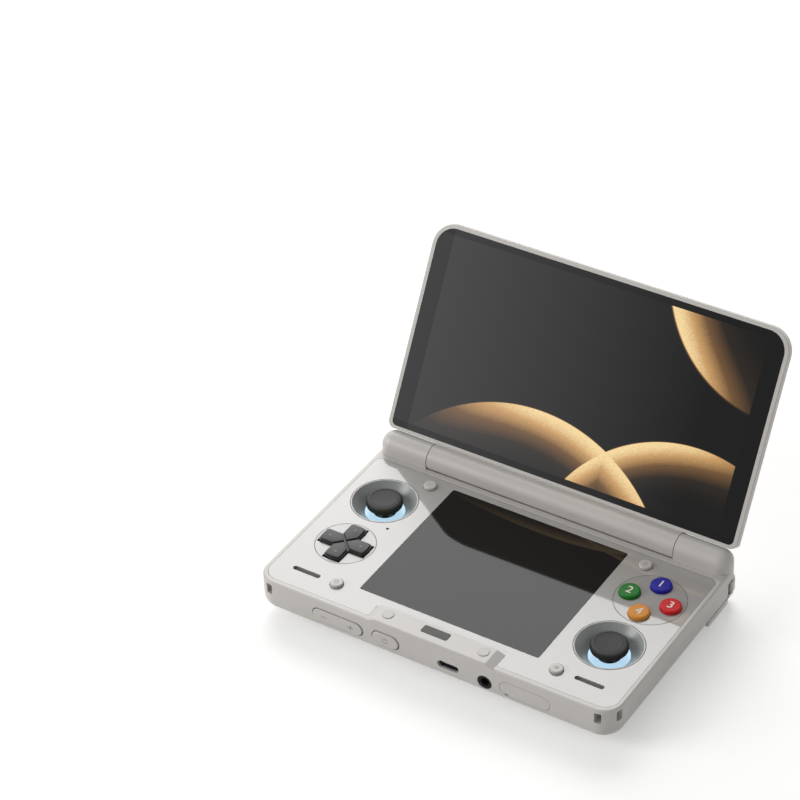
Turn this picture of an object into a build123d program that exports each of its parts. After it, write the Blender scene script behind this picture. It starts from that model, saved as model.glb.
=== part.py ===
"""Clamshell handheld game console, standing with its lid open.

Millimetres. X runs to the console's right, Y towards the hinge, Z up. The origin lies under the centre of
the lower screen, on the surface that the lobes and the front feet stand on. Heights named drop or rise are
measured from the deck, the top face of the base.
"""

from math import cos, radians, sin, sqrt

from build123d import *
import os

# Base, outside: the lower screen, and how far the base reaches past it
screen_size = (75.1, 65.4)
side_margin = 37.45
front_margin = 13.3
back_margin = 15.3
base_thickness = 13.5
lobe_height = 4.2
front_corner = 8.0
rear_corner = 4.8
bottom_round = 4.0
rim_round = 0.8
parting_height = 2.5  # of the seam between the two cases, above the base's underside

# Base, walls
side_wall = 1.8
tray_wall = 2.6
floor_wall = 1.5
ceiling_wall = 1.6
trough_wall = 1.5
bulkhead = 1.8
cut_over = 1.0  # how far a cut runs on past what it cuts
hollow_lap = 0.6  # of the high room under the towers' fronts

# Clearances
seam_gap = 0.1  # between fixed pieces set side by side
slide_gap = 0.15  # round a button in its hole
swing_gap = 0.35  # round a piece that turns
shaft_gap = 0.05  # of a shaft in its bearing, on the radius

# Hinge and towers
hinge_from_back = 5.0
hinge_rise = 2.8
barrel_radius = 5.1
barrel_wall = 1.5
barrel_end_wall = 1.6
tower_width = 21.7
tower_swell = 0.1  # of a tower's front past the barrel
tower_wall = 1.6
trough_lip_drop = 1.3
shaft_radius = 2.0
shaft_from_side = (31.0, 6.5)
leaf_width = 6.0
leaf_reach = 16.0
leaf_heel = (-1.2, 1.6)
leaf_foot = 0.2
leaf_heel_rise = 0.5
bracket_radius = 3.2
bracket_from_side = (19.7, 5.5)
bracket_foot = 8.0

# Lid, in its own frame: up from the hinge axis and out from it towards the player
lid_open_angle = 120.0
lid_bottom = 5.45
lid_short_of_front = 0.7  # when it is closed
lid_face_rise = 0.88
lid_split = -1.4
lid_top_corner = 9.5
lid_bottom_corner = 3.0
lid_back_round = 3.6
lid_tray_corner = 1.0
lid_tray_inset = 2.2
lid_rim = 1.8
lid_bottom_rim = 1.45
lid_wall = 1.4
lid_edge_round = 0.4
glass_bottom_corner = 2.0
web_top = 7.0
web_rise = 0.4
cap_length = 4.5
top_glass_thickness = 0.9
top_display_margin = (4.95, 1.3)
top_display_thickness = 1.8
flex_width = 24.0
flex_thickness = 0.3
flex_overlap = 2.0

# Faceplate and what shows through it
face_side_rim = 1.9
face_front_rim = 2.4
face_back_rim = 12.4
face_corner = 5.6
face_rear_corner = 3.0
face_thickness = 1.2
screen_corner = 0.8
display_margin = 1.4
display_thickness = 1.9
speaker_slot_inset = (15.6, 11.3)  # from the side and the front
speaker_slot_size = (11.8, 2.1)
mic_inset = (28.0, 46.9)  # from the left side and the front
mic_radius = 0.6

# Front bar
bar_half = 26.8
bar_ramp = 3.3
bar_depth = 8.6
bar_rise = 1.3
bar_round = 1.0
bar_edge_round = 0.5
pad_spacing = 40.0
pad_from_front = 5.0
pad_radius = 2.15
pad_rise = 0.3
badge_size = (10.9, 3.7)
badge_from_front = 5.3
badge_thickness = 0.5
badge_proud = 0.1
badge_corner = 0.8

# Sticks
left_stick_shift = (0.525, 14.2)  # outwards from the middle of the side margin, and backwards
right_stick_shift = (-0.375, -14.2)
well_radius = 12.8
well_lip = 0.5
well_floor_radius = 7.75
well_depth = 4.8
well_floor = 0.5
well_wall = 1.0
well_flange = 0.8
well_flange_thickness = 0.8
ring_hole = 4.5
ring_thickness = 0.7
stick_pivot_drop = 8.6
stick_housing = 15.0
stick_housing_corner = 1.0
stick_housing_top = 6.4
stick_housing_floor = 0.7
stick_cavity = 6.5
gimbal_outer = 5.3
gimbal_inner = 4.0
gimbal_thickness = 1.6
trunnion_radius = 0.75
rocker_radius = 3.0
rocker_thickness = 2.4
shaft_of_stick = 1.2
stick_shaft_drop = 9.9
neck_radius = 2.6
neck_drop = 4.3
neck_flare = 0.7
cap_radius = 7.0
cap_rise = 1.2
cap_dish = 0.45
cap_flat = 1.0
cap_rim = (1.2, 0.3)
cap_rim_drop = 0.35
cap_shoulder = 1.0
cap_side = 0.9
cap_under_radius = 5.0
cap_under_drop = 1.7

# Four-way pad
dpad_shift = (-0.375, -14.1)
dpad_span = 20.2
dpad_disc_margin = 1.3
dpad_arm = 7.0
dpad_corner = 0.8
dpad_rise = 1.45
dpad_flange = 0.7
dpad_flange_drop = 2.1
dpad_flange_thickness = 0.6
dpad_groove = 0.8
dpad_groove_depth = 0.5
dpad_edge = 0.5
dpad_gap = 0.3
dpad_pivot_drop = 3.8
dpad_pin = 0.45
dpad_hub = 0.585
dpad_ear = 1.0
dpad_ear_depth = 0.75
dpad_ear_inner = 1.8
dpad_post_inner = 3.3
dpad_post_top = 3.15

# Face buttons
cluster_shift = (0.525, 14.2)
cluster_disc = 13.4
cluster_pitch = 8.4
face_button_radius = 4.05
face_button_rise = 1.45
face_button_round = 0.8
face_flange_radius = 4.45
face_flange_drop = 1.25
face_flange_thickness = 0.6
face_travel = 0.8

# Small round buttons
upper_button_inset = (28.7, 18.1)  # from the side and the back
lower_button_inset = (28.8, 11.2)  # from the side and the front
small_radius = 2.6
small_rise = 1.1
small_round = 0.6
small_flange_radius = 3.2
small_flange_drop = 1.25
small_flange_thickness = 0.6
small_travel = 0.5

# Rubber domes and boards
dome_radius = 3.0
dome_taper = 25.0
pad_dome_drop = 3.7
pad_dome_ring = 7.8
sheet_thickness = 0.4
button_board_drop = 5.0
button_board_reach = 12.6
pillar_pitch = 20.8
pillar_radius = 1.2
board_drop = 4.55
board_thickness = 1.0
board_from_side = 27.0
board_from_back = 14.0
board_front_gap = 0.5
board_post_gap = 3.35  # outside the lower screen
board_post_insets = (16.0, 23.0)  # from the front and from the back
switch_size = 3.4
switch_gap = 0.1

# Front wall, centres as (distance from the nearer side, height above the deck)
rocker_inset = (36.15, -6.55)
rocker_size = (21.3, 5.3)
rocker_proud = 0.5
rocker_switch_from_end = 3.55
rocker_tilt = 2.5
rocker_flange_gap = 0.7
rocker_pin_depth = 5.1
rocker_pin = 0.8
rocker_lug = 1.4
flange_growth = (1.4, 0.8)
flange_thickness = 0.8
power_inset = (56.65, -6.35)
power_size = (11.1, 5.7)
power_proud = 0.5
power_travel = 0.5
front_key_gap = 0.4  # round the rocker and the power button
front_key_round = 0.4
usb_inset = (66.95, -7.1)
usb_size = (9.0, 3.3)
usb_depth = 7.3
usb_shell = 0.35
usb_tongue = (6.7, 0.7)
usb_set_back = 0.5
jack_inset = (51.8, -7.7)
jack_hole = 3.0
jack_nose = 2.9
jack_bore = 1.8
jack_depth = 12.0
jack_block = (6.6, 11.2)
jack_block_drop = 2.2
jack_set_back = 0.3
flap_inset = (35.45, -6.8)
flap_size = (20.3, 6.0)
flap_thickness = 1.0
flap_nick = 0.9
flap_nick_spacing = 7.3
card_slot = (12.0, 1.1)
card_slot_wall = 1.0  # behind the card
reader_size = (16.0, 14.0, 2.2)
lanyard_slot = (2.6, 4.5)
lanyard_slot_corner = 0.5
lanyard_from_side = 6.2
lanyard_from_front = 5.7
lanyard_top_drop = 1.6
lanyard_block = 9.1
lanyard_floor = 0.8

# Shoulder bumpers and triggers, at the rear corners
pocket_width = 21.0
pocket_depth = 7.8
pocket_ceiling_drop = 4.4
bumper_top_gap = 0.5
bumper_bottom_drop = 9.35
bumper_proud = 0.8
bumper_side_proud = 0.6
bumper_thickness = 2.6
bumper_end_round = 0.7
bumper_edge = 0.35
bumper_arm_depth = 6.1
bumper_pivot_inset = (18.5, 1.4)  # from the side and the back
bumper_pin = 0.8
bumper_end_gap = 0.4
trigger_gap = 0.35
trigger_outline_round = 7.6
trigger_back_round = 1.8
trigger_toe = 1.0  # of the foot behind the front's lower edge
trigger_back_rise = 2.85
trigger_heel_depth = 1.8
trigger_depth = 7.0
trigger_relief = 0.7
trigger_pivot_depth = 3.5
trigger_pin = 0.6
trigger_pin_length = 19.6
trigger_lift = 0.35
mound_depth = 23.0
mound_crest_depth = 10.5
mound_start_round = 1.0
mound_crest_round = 3.0
mound_flare = 4.0

# Inside the base
battery_thickness = 5.1
battery_gaps = (6.2, 3.5, 8.0, 18.0)  # to the stick's housing, the fan, the front and the back
battery_corner = 2.0
fan_size = (34.0, 34.0, 5.0)
fan_inset = (49.0, 31.5)  # from the right side and the back
fan_bore = 15.6
fan_floor = 0.8
fan_spindle = 0.8
fan_vents = 8
fan_vent_radius = 2.4
fan_vent_ring = 9.36
blade_count = 9
blade_reach = 14.9
blade_thickness = 0.9
blade_turn = 12.0
hub_radius = 5.0
impeller_height = 3.4
heatsink_size = (32.0, 8.0, 4.6)
heatsink_from_back = 8.5
fin_count = 12
fin_thickness = 0.8
grille_slots = 6
grille_pitch = 4.6
grille_slot_size = (26.0, 1.8)
speaker_size = (12.4, 8.0, 3.6)
speaker_corner = 1.0
speaker_ahead = 2.5  # of its slot
screw_radius = 0.8
screw_length = 6.5
screw_head_radius = 1.5
screw_head = 1.2
screw_boss = 2.4
side_screw_insets = (4.0, 18.0, 16.5)  # from the side, the front and the back
middle_screw_x = -3.6
middle_screw_insets = (4.8, 7.5)  # from the front and the back
foot_inset = (15.0, 13.0)  # from the side and the front
foot_radius = 4.2
foot_pad_radius = 3.4
foot_pad_thickness = 0.6

# Worked out from the above
half_width = screen_size[0] / 2 + side_margin
front_reach = screen_size[1] / 2 + front_margin
back_reach = screen_size[1] / 2 + back_margin
base_width = 2 * half_width
side_middle = half_width - side_margin / 2
deck_z = base_thickness + lobe_height
underside = -base_thickness
parting = underside + parting_height
floor_top = underside + floor_wall
ceiling = -(face_thickness + ceiling_wall)
hinge_y = back_reach - hinge_from_back
hinge_z = deck_z + hinge_rise
tower_inner = half_width - tower_width
tower_front = hinge_y - barrel_radius - tower_swell
tower_top = hinge_rise + barrel_radius
tower_front_round = hinge_y - tower_front
tower_back_round = back_reach - hinge_y
barrel_half = tower_inner - swing_gap + shaft_gap
shaft_from = half_width - shaft_from_side[0]
shaft_to = half_width - shaft_from_side[1]
bracket_from = half_width - bracket_from_side[0]
bracket_to = half_width - bracket_from_side[1]
trough_radius = barrel_radius + swing_gap
trough_ceiling = hinge_rise - trough_radius - trough_wall
inner_front = -front_reach + side_wall
inner_back = back_reach - side_wall
face_width = base_width - 2 * face_side_rim
face_front = front_reach - face_front_rim
face_back = back_reach - face_back_rim
speaker_slot_x = half_width - speaker_slot_inset[0]
speaker_slot_y = speaker_slot_inset[1] - front_reach
mic_place = (mic_inset[0] - half_width, mic_inset[1] - front_reach)
pad_y = pad_from_front - front_reach
badge_y = badge_from_front - front_reach
left_stick = (-side_middle - left_stick_shift[0], left_stick_shift[1])
right_stick = (side_middle + right_stick_shift[0], right_stick_shift[1])
dpad_place = (-side_middle - dpad_shift[0], dpad_shift[1])
cluster_place = (side_middle + cluster_shift[0], cluster_shift[1])
upper_button_place = (half_width - upper_button_inset[0], back_reach - upper_button_inset[1])
lower_button_place = (half_width - lower_button_inset[0], lower_button_inset[1] - front_reach)
pocket_inner = half_width - pocket_width
pocket_front = back_reach - pocket_depth
bumper_arm_front = back_reach - bumper_arm_depth
bumper_pivot = (half_width - bumper_pivot_inset[0], back_reach - bumper_pivot_inset[1])
trigger_heel = back_reach - trigger_heel_depth
trigger_front = back_reach - trigger_depth
trigger_pivot_y = back_reach - trigger_pivot_depth
mound_start = back_reach - mound_depth
mound_crest = back_reach - mound_crest_depth
trigger_top = -(bumper_bottom_drop + trigger_gap)
board_top = -board_drop
board_bottom = board_top - board_thickness
board_half = half_width - board_from_side
board_back = back_reach - board_from_back
board_post_x = screen_size[0] / 2 + board_post_gap
board_post_places = [(-board_post_x, back_reach - board_post_insets[1]),
                     (board_post_x, back_reach - board_post_insets[1]),
                     (-board_post_x, board_post_insets[0] - front_reach),
                     (board_post_x, board_post_insets[0] - front_reach)]
rocker_place = (rocker_inset[0] - half_width, rocker_inset[1])
power_place = (power_inset[0] - half_width, power_inset[1])
usb_place = (half_width - usb_inset[0], usb_inset[1])
jack_place = (half_width - jack_inset[0], jack_inset[1])
flap_place = (half_width - flap_inset[0], flap_inset[1])
rocker_pin_y = rocker_pin_depth - front_reach
rocker_room = sin(radians(rocker_tilt)) * rocker_size[0] / 2
rocker_front = inner_front + rocker_flange_gap
rocker_switch_y = rocker_front + flange_thickness + rocker_room + switch_gap
power_front = inner_front + seam_gap
power_switch_y = power_front + flange_thickness + power_travel + switch_gap
lid_face = radians(180 - lid_open_angle)
lid_width = base_width
lid_top = hinge_y + front_reach - lid_short_of_front
glass_top = lid_top - lid_rim
glass_bottom = lid_bottom + lid_bottom_rim
lid_middle = (glass_top + glass_bottom) / 2
glass_width = lid_width - 2 * lid_rim
top_display_size = (glass_width - 2 * top_display_margin[0],
                    glass_top - glass_bottom - 2 * top_display_margin[1])
glass_floor = lid_face_rise - top_glass_thickness
panel_floor = glass_floor - top_display_thickness
lid_back = -barrel_radius
lid_back_floor = lid_back + lid_wall
face_dome_drop = face_flange_drop + face_flange_thickness + face_travel + slide_gap
dpad_disc = dpad_span / 2 + dpad_disc_margin
pad_flange = (dpad_span + 2 * dpad_flange, dpad_arm + 2 * dpad_flange)
fan_place = (half_width - fan_inset[0], back_reach - fan_inset[1])
battery_left = left_stick[0] + stick_housing / 2 + battery_gaps[0]
battery_right = fan_place[0] - fan_size[0] / 2 - battery_gaps[1]
battery_front = battery_gaps[2] - front_reach
battery_back = back_reach - battery_gaps[3]
heatsink_y = back_reach - heatsink_from_back
screw_x = half_width - side_screw_insets[0]
screw_front = side_screw_insets[1] - front_reach
screw_back = back_reach - side_screw_insets[2]
screw_places = [(-screw_x, screw_front), (screw_x, screw_front), (-screw_x, screw_back),
                (screw_x, screw_back), (middle_screw_x, middle_screw_insets[0] - front_reach),
                (middle_screw_x, back_reach - middle_screw_insets[1])]
foot_place = (half_width - foot_inset[0], foot_inset[1] - front_reach)
sticks = {"left": left_stick, "right": right_stick}
sides = {"left": -1, "right": 1}
upper_buttons = [(-upper_button_place[0], upper_button_place[1]), upper_button_place]
lower_buttons = [(-lower_button_place[0], lower_button_place[1]), lower_button_place]
small_buttons = upper_buttons + lower_buttons


def level(height):
    """The level plane at this height above the deck."""
    return Plane.XY.offset(deck_z + height)


def upright(y):
    """The upright plane across the console at this y, facing the player, with the deck at its zero."""
    return Plane(origin=(0, y, deck_z), x_dir=(1, 0, 0), z_dir=(0, -1, 0))


def side_on(x):
    """The upright plane along the console at this x, with y and the height above the deck as its axes."""
    return Plane(origin=(x, 0, deck_z), x_dir=(0, 1, 0), z_dir=(1, 0, 0))


def lid_layer(rise):
    """The plane parallel to the lid's face at this distance from the hinge axis, with its y up the lid."""
    face = Plane(origin=(0, hinge_y, hinge_z), x_dir=(1, 0, 0), z_dir=lid_facing.direction)
    return face.offset(rise)


lid_facing = Axis((0, hinge_y, hinge_z), (0, -sin(lid_face), cos(lid_face)))


def lid_section(x):
    """The plane across the lid at this x, with up the lid and out towards the player as its axes."""
    up = (0, cos(lid_face), sin(lid_face))
    return Plane(origin=(x, hinge_y, hinge_z), x_dir=up, z_dir=(1, 0, 0))


def along_x(x, y, drop):
    """The upright plane at a point this far below the deck, facing outwards along X from the middle."""
    return Plane(origin=(x, y, deck_z - drop), z_dir=(1 if x > 0 else -1, 0, 0))


def fill_outline(points, radii):
    """Fill a closed outline whose corners have these radii, in the sketch that calls this."""
    with BuildLine() as edge:
        FilletPolyline(*points, radius=radii, close=True)
    make_face(edge.edges())


def save(name, part):
    """Label a finished piece and write it."""
    part.label = name
    export_step(part, f"parts/{name}.step")


def save_pair(name, part):
    """Write a piece of the right side, and its mirror image for the left."""
    with BuildPart() as twin:
        mirror(part, about=Plane.YZ)
    save(f"left_{name}", twin.part)
    save(f"right_{name}", part)


def tower_outline(inset):
    """Side view of a tower, drawn in by this much, from below the deck to its rounded top."""
    foot = pocket_ceiling_foot(inset)
    front = tower_front + inset
    back = back_reach - inset
    top = tower_top - inset
    points = [(front, foot), (front, top), (hinge_y, top), (back, top), (back, foot)]
    fill_outline(points[:2] + points[3:], [0, tower_front_round - inset, tower_back_round - inset, 0])


def pocket_ceiling_foot(inset):
    """Where a tower's side view starts: inside the case, or on the pocket's ceiling where hollow."""
    return ceiling if inset else -bumper_bottom_drop


def outer_form():
    """The base's whole outer form before it is parted into two cases."""
    depth = front_reach + back_reach
    with BuildPart() as block:
        with BuildSketch(level(underside)):
            with Locations((0, (back_reach - front_reach) / 2)):
                Rectangle(base_width, depth)
        extrude(amount=base_thickness)
        fillet(block.edges().filter_by(Axis.Z).group_by(Axis.Y)[0], radius=front_corner)
        fillet(block.edges().filter_by(Axis.Z).group_by(Axis.Y)[-1], radius=rear_corner)
        fillet(block.edges().group_by(Axis.Z)[0], radius=bottom_round)
        fillet(block.edges().group_by(Axis.Z)[-1], radius=rim_round)
    with BuildPart() as tower:
        with BuildSketch(side_on(tower_inner)):
            tower_outline(0)
        extrude(amount=half_width - tower_inner)
        end = tower.faces().sort_by(Axis.X)[-1]
        fillet(end.edges().sort_by(Axis.Z)[1:], radius=rear_corner)
        mirror(about=Plane.YZ)
    with BuildPart() as form:
        add(block.part)
        add(tower.part)
    return form.part


def make_upper_case(form):
    """Walls, rim, towers and hinge trough, moulded in one, with all that is cut in the front wall."""
    bar = front_bar()
    with BuildPart() as case:
        add(form)
        split(bisect_by=level(parting), keep=Keep.TOP)
        add(bar)
        cut_case_hollow()
        cut_trough_and_towers()
        cut_shoulder_pockets()
        add_screw_bosses()
        cut_deck()
        add_lanyard_corners()
        cut_front_wall()
    save("upper_case", case.part)


def front_bar():
    """The raised bar in the middle of the front rim, with a ramp at each end and the badge's recess."""
    foot = -rim_round - seam_gap
    top = bar_half - bar_ramp
    with BuildPart() as bar:
        with BuildSketch(upright(-front_reach)):
            fill_outline([(-bar_half, foot), (-bar_half, 0), (-top, bar_rise), (top, bar_rise),
                          (bar_half, 0), (bar_half, foot)], [0, 0, bar_round, bar_round, 0, 0])
        extrude(amount=-bar_depth)
        front_top = bar.edges().filter_by(Axis.X).group_by(Axis.Z)[-1].sort_by(Axis.Y)[0]
        fillet(front_top, radius=bar_edge_round)
        with BuildSketch(level(bar_rise)):
            with Locations((0, badge_y)):
                RectangleRounded(badge_size[0] + 2 * seam_gap, badge_size[1] + 2 * seam_gap, badge_corner)
        extrude(amount=-(badge_thickness - badge_proud), mode=Mode.SUBTRACT)
    return bar.part


def cut_case_hollow():
    """The room inside: low under the trough, high in front of it."""
    high_back = tower_front + hollow_lap
    with BuildSketch(level(parting)) as outline:
        with Locations((0, (inner_front + high_back) / 2)):
            Rectangle(base_width - 2 * side_wall, high_back - inner_front)
        fillet(vertices().group_by(Axis.Y)[0], radius=front_corner - side_wall)
    extrude(outline.sketch, amount=ceiling - parting, mode=Mode.SUBTRACT)
    with BuildSketch(level(parting)) as outline:
        with Locations((0, (high_back + inner_back) / 2)):
            Rectangle(2 * (pocket_inner - bulkhead), inner_back - high_back)
    extrude(outline.sketch, amount=trough_ceiling - parting, mode=Mode.SUBTRACT)


def cut_trough_and_towers():
    """The trough that the barrel turns in, the lip behind it, and the hollow towers at its ends."""
    with BuildSketch(Plane(origin=(-tower_inner, hinge_y, hinge_z), z_dir=(1, 0, 0))) as outline:
        Circle(trough_radius)
    extrude(outline.sketch, amount=2 * tower_inner, mode=Mode.SUBTRACT)
    with BuildSketch(side_on(-tower_inner)) as outline:
        with Locations((hinge_y, -trough_lip_drop)):
            Rectangle(back_reach, tower_top + trough_lip_drop + cut_over, align=(Align.MIN, Align.MIN))
    extrude(outline.sketch, amount=2 * tower_inner, mode=Mode.SUBTRACT)
    for side in sides.values():
        room = half_width - tower_inner - 2 * tower_wall
        with BuildSketch(side_on(side * (tower_inner + tower_wall))) as outline:
            tower_outline(tower_wall)
        extrude(outline.sketch, amount=side * room, mode=Mode.SUBTRACT)
        with BuildSketch(along_x(side * tower_inner, hinge_y, -hinge_rise)) as outline:
            Circle(shaft_radius + swing_gap)
        extrude(outline.sketch, amount=tower_wall, mode=Mode.SUBTRACT)
        with BuildSketch(level(ceiling)) as outline:
            with Locations((side * (tower_inner + half_width) / 2, tower_front)):
                Rectangle(bracket_foot, 2 * tower_wall)
        extrude(outline.sketch, amount=ceiling_wall, both=True, mode=Mode.SUBTRACT)


def cut_shoulder_pockets():
    """Each rear corner opens below the tower for its bumper and trigger, round their pins."""
    for side in sides.values():
        with BuildSketch(level(-pocket_ceiling_drop)) as outline:
            pocket_plan(side)
        extrude(outline.sketch, amount=-base_thickness, mode=Mode.SUBTRACT)
        with BuildSketch(level(-pocket_ceiling_drop)) as outline:
            with Locations((side * bumper_pivot[0], bumper_pivot[1])):
                Circle(bumper_pin)
        extrude(outline.sketch, amount=pocket_ceiling_drop + ceiling, mode=Mode.SUBTRACT)
        cut_trigger_cradle(side)


def pocket_plan(side):
    """Plan of a shoulder pocket, open at the back and at the side."""
    reach = half_width - pocket_inner + cut_over
    depth = back_reach - pocket_front + cut_over
    with Locations((side * (pocket_inner + reach / 2), pocket_front + depth / 2)):
        Rectangle(reach, depth)


def cut_trigger_cradle(side):
    """Half of the hole for a trigger's pin, in the bulkhead where the two cases meet."""
    with BuildSketch(along_x(side * (pocket_inner - bulkhead), trigger_pivot_y, -parting)) as outline:
        Circle(trigger_pin)
    extrude(outline.sketch, amount=bulkhead, mode=Mode.SUBTRACT)


def add_screw_bosses():
    """Posts for the case screws, posts that the main board hangs from, and the volume rocker's post."""
    for x, y in screw_places:
        top = trough_ceiling if y > tower_front else ceiling
        with BuildSketch(level(parting)) as outline:
            with Locations((x, y)):
                Circle(screw_boss)
                Circle(screw_radius + shaft_gap, mode=Mode.SUBTRACT)
        extrude(outline.sketch, amount=top - parting)
    with BuildSketch(level(ceiling)) as outline:
        with Locations(*board_post_places):
            Circle(pillar_radius)
    extrude(outline.sketch, amount=board_top - ceiling)
    with BuildSketch(level(ceiling)) as outline:
        with Locations((rocker_place[0], rocker_pin_y)):
            Circle(rocker_lug)
            Circle(rocker_pin, mode=Mode.SUBTRACT)
    extrude(outline.sketch, amount=rocker_place[1] + rocker_lug - ceiling)


def cut_deck():
    """The faceplate's pocket, and the holes in the wall under it."""
    with BuildSketch(level(-face_thickness)) as outline:
        faceplate_plan(seam_gap)
    extrude(outline.sketch, amount=face_thickness, mode=Mode.SUBTRACT)
    with BuildSketch(level(ceiling)) as outline:
        with Locations(*sticks.values()):
            Circle(well_radius + well_flange + seam_gap)
        with Locations(dpad_place):
            Rectangle(pad_flange[0] + 2 * swing_gap, pad_flange[1] + 2 * swing_gap)
            Rectangle(pad_flange[1] + 2 * swing_gap, pad_flange[0] + 2 * swing_gap)
        with Locations(cluster_place):
            Circle(cluster_pitch + face_flange_radius + slide_gap + seam_gap)
        with Locations(*small_buttons):
            Circle(small_flange_radius + slide_gap)
        room = 2 * (display_margin + seam_gap)
        Rectangle(screen_size[0] + room, screen_size[1] + room)
        deck_slots()
    extrude(outline.sketch, amount=ceiling_wall, mode=Mode.SUBTRACT)


def deck_slots():
    """The two speaker slots and the microphone hole."""
    with Locations((-speaker_slot_x, speaker_slot_y), (speaker_slot_x, speaker_slot_y)):
        SlotOverall(*speaker_slot_size)
    with Locations(mic_place):
        Circle(mic_radius)


def faceplate_plan(gap):
    """Plan of the faceplate, grown by this gap, with the notch for the front bar."""
    depth = face_front + face_back + 2 * gap
    with Locations((0, (face_back - face_front) / 2)):
        Rectangle(face_width + 2 * gap, depth)
    fillet(vertices().group_by(Axis.Y)[0], radius=face_corner)
    fillet(vertices().group_by(Axis.Y)[-1], radius=face_rear_corner)
    notch = bar_depth - (front_reach - face_front) + seam_gap - gap
    with Locations((0, -face_front - gap)):
        Rectangle(2 * (bar_half + seam_gap - gap), 2 * (notch + gap), mode=Mode.SUBTRACT)


def add_lanyard_corners():
    """Solid front corners, each with an angled way through for a lanyard."""
    middle = -lanyard_top_drop - lanyard_slot[1] / 2
    bottom = -lanyard_top_drop - lanyard_slot[1] - lanyard_floor
    front = side_wall / 2 - front_reach
    back = lanyard_block - front_reach
    for side in sides.values():
        outer = side * (half_width - side_wall / 2)
        inner = side * (half_width - lanyard_block)
        with BuildSketch(level(ceiling)) as outline:
            fill_outline([(inner, front), (outer, front), (outer, back), (inner, back)],
                         [0, front_corner - side_wall / 2, 0, 0])
        extrude(outline.sketch, amount=bottom - ceiling)
        with BuildSketch(upright(-front_reach)) as outline:
            with Locations((side * (half_width - lanyard_from_side), middle)):
                RectangleRounded(*lanyard_slot, lanyard_slot_corner)
        extrude(outline.sketch, amount=-lanyard_from_front - lanyard_slot[0] / 2, mode=Mode.SUBTRACT)
        with BuildSketch(side_on(side * half_width)) as outline:
            with Locations((lanyard_from_front - front_reach, middle)):
                RectangleRounded(*lanyard_slot, lanyard_slot_corner)
        reach = lanyard_from_side + lanyard_slot[0] / 2
        extrude(outline.sketch, amount=-side * reach, mode=Mode.SUBTRACT)


def cut_front_wall():
    """Holes for the rocker, the power button, the port and the jack, and the flap's recess."""
    with BuildSketch(upright(-front_reach)) as outline:
        with Locations(rocker_place):
            SlotOverall(rocker_size[0] + 2 * front_key_gap, rocker_size[1] + 2 * front_key_gap)
        with Locations(power_place):
            SlotOverall(power_size[0] + 2 * front_key_gap, power_size[1] + 2 * front_key_gap)
        with Locations(usb_place):
            SlotOverall(*usb_size)
        with Locations(jack_place):
            Circle(jack_hole)
        with Locations((flap_place[0], flap_place[1])):
            SlotOverall(*card_slot)
    extrude(outline.sketch, amount=-side_wall, mode=Mode.SUBTRACT)
    with BuildSketch(upright(-front_reach)) as outline:
        with Locations(flap_place):
            SlotOverall(flap_size[0] + 2 * slide_gap, flap_size[1] + 2 * slide_gap)
    extrude(outline.sketch, amount=-(flap_thickness + seam_gap), mode=Mode.SUBTRACT)


def make_lower_case(form):
    """The shallow tray below the seam, with the ramps in front of the triggers and the foot bosses."""
    lobes = [lobe(side) for side in sides.values()]
    with BuildPart() as case:
        add(form)
        split(bisect_by=level(parting), keep=Keep.BOTTOM)
        add(lobes)
        add_front_bosses()
        cut_tray()
        for side in sides.values():
            with BuildSketch(level(0)):
                pocket_plan(side)
            extrude(amount=-2 * base_thickness, mode=Mode.SUBTRACT)
            cut_trigger_cradle(side)
        add_tray_posts()
        cut_tray_holes()
    save("lower_case", case.part)


def lobe_outline(side, inner, flare):
    """Front view of a lobe, round below, from its inner to its outer edge, flared at its inner edge."""
    bottom = underside - lobe_height
    start = side * (inner - flare)
    foot = side * (inner + flare / 2)
    outer = side * half_width
    points = [(start, parting), (start, underside), (side * inner, underside), (foot, bottom),
              (outer, bottom), (outer, parting)]
    round_edge = trigger_outline_round - flare / 2
    fill_outline(points, [0, 0, flare, round_edge, round_edge, 0])


def lobe(side):
    """A ramp under one rear corner that leads back to its trigger."""
    bottom = underside - lobe_height
    with BuildPart() as ramp:
        with BuildSketch(upright(mound_start)):
            lobe_outline(side, pocket_inner + mound_flare, mound_flare)
        extrude(amount=-(pocket_front - mound_start))
        with BuildSketch(side_on(side * (pocket_inner - 2 * mound_flare))):
            fill_outline([(mound_start, parting), (mound_start, underside), (mound_crest, bottom),
                          (pocket_front, bottom), (pocket_front, parting)],
                         [0, mound_start_round, mound_crest_round, 0, 0])
        extrude(amount=side * (half_width + mound_flare), mode=Mode.INTERSECT)
    return ramp.part


def add_front_bosses():
    """Two round bosses under the front corners, which hold the feet level with the lobes."""
    for side in sides.values():
        with BuildSketch(level(floor_top)) as outline:
            with Locations((side * foot_place[0], foot_place[1])):
                Circle(foot_radius)
        extrude(outline.sketch, amount=-(floor_wall + lobe_height - foot_pad_thickness))


def cut_tray():
    """The tray's inside: wide in front, between the bulkheads behind."""
    front = -front_reach + tray_wall
    high_back = pocket_front - bulkhead
    back = back_reach - tray_wall
    with BuildSketch(level(floor_top)) as outline:
        with Locations((0, (front + high_back) / 2)):
            Rectangle(base_width - 2 * tray_wall, high_back - front)
        fillet(vertices().group_by(Axis.Y)[0], radius=front_corner - tray_wall)
        with Locations((0, (front + back) / 2)):
            Rectangle(2 * (pocket_inner - bulkhead), back - front)
    extrude(outline.sketch, amount=base_thickness, mode=Mode.SUBTRACT)


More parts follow.
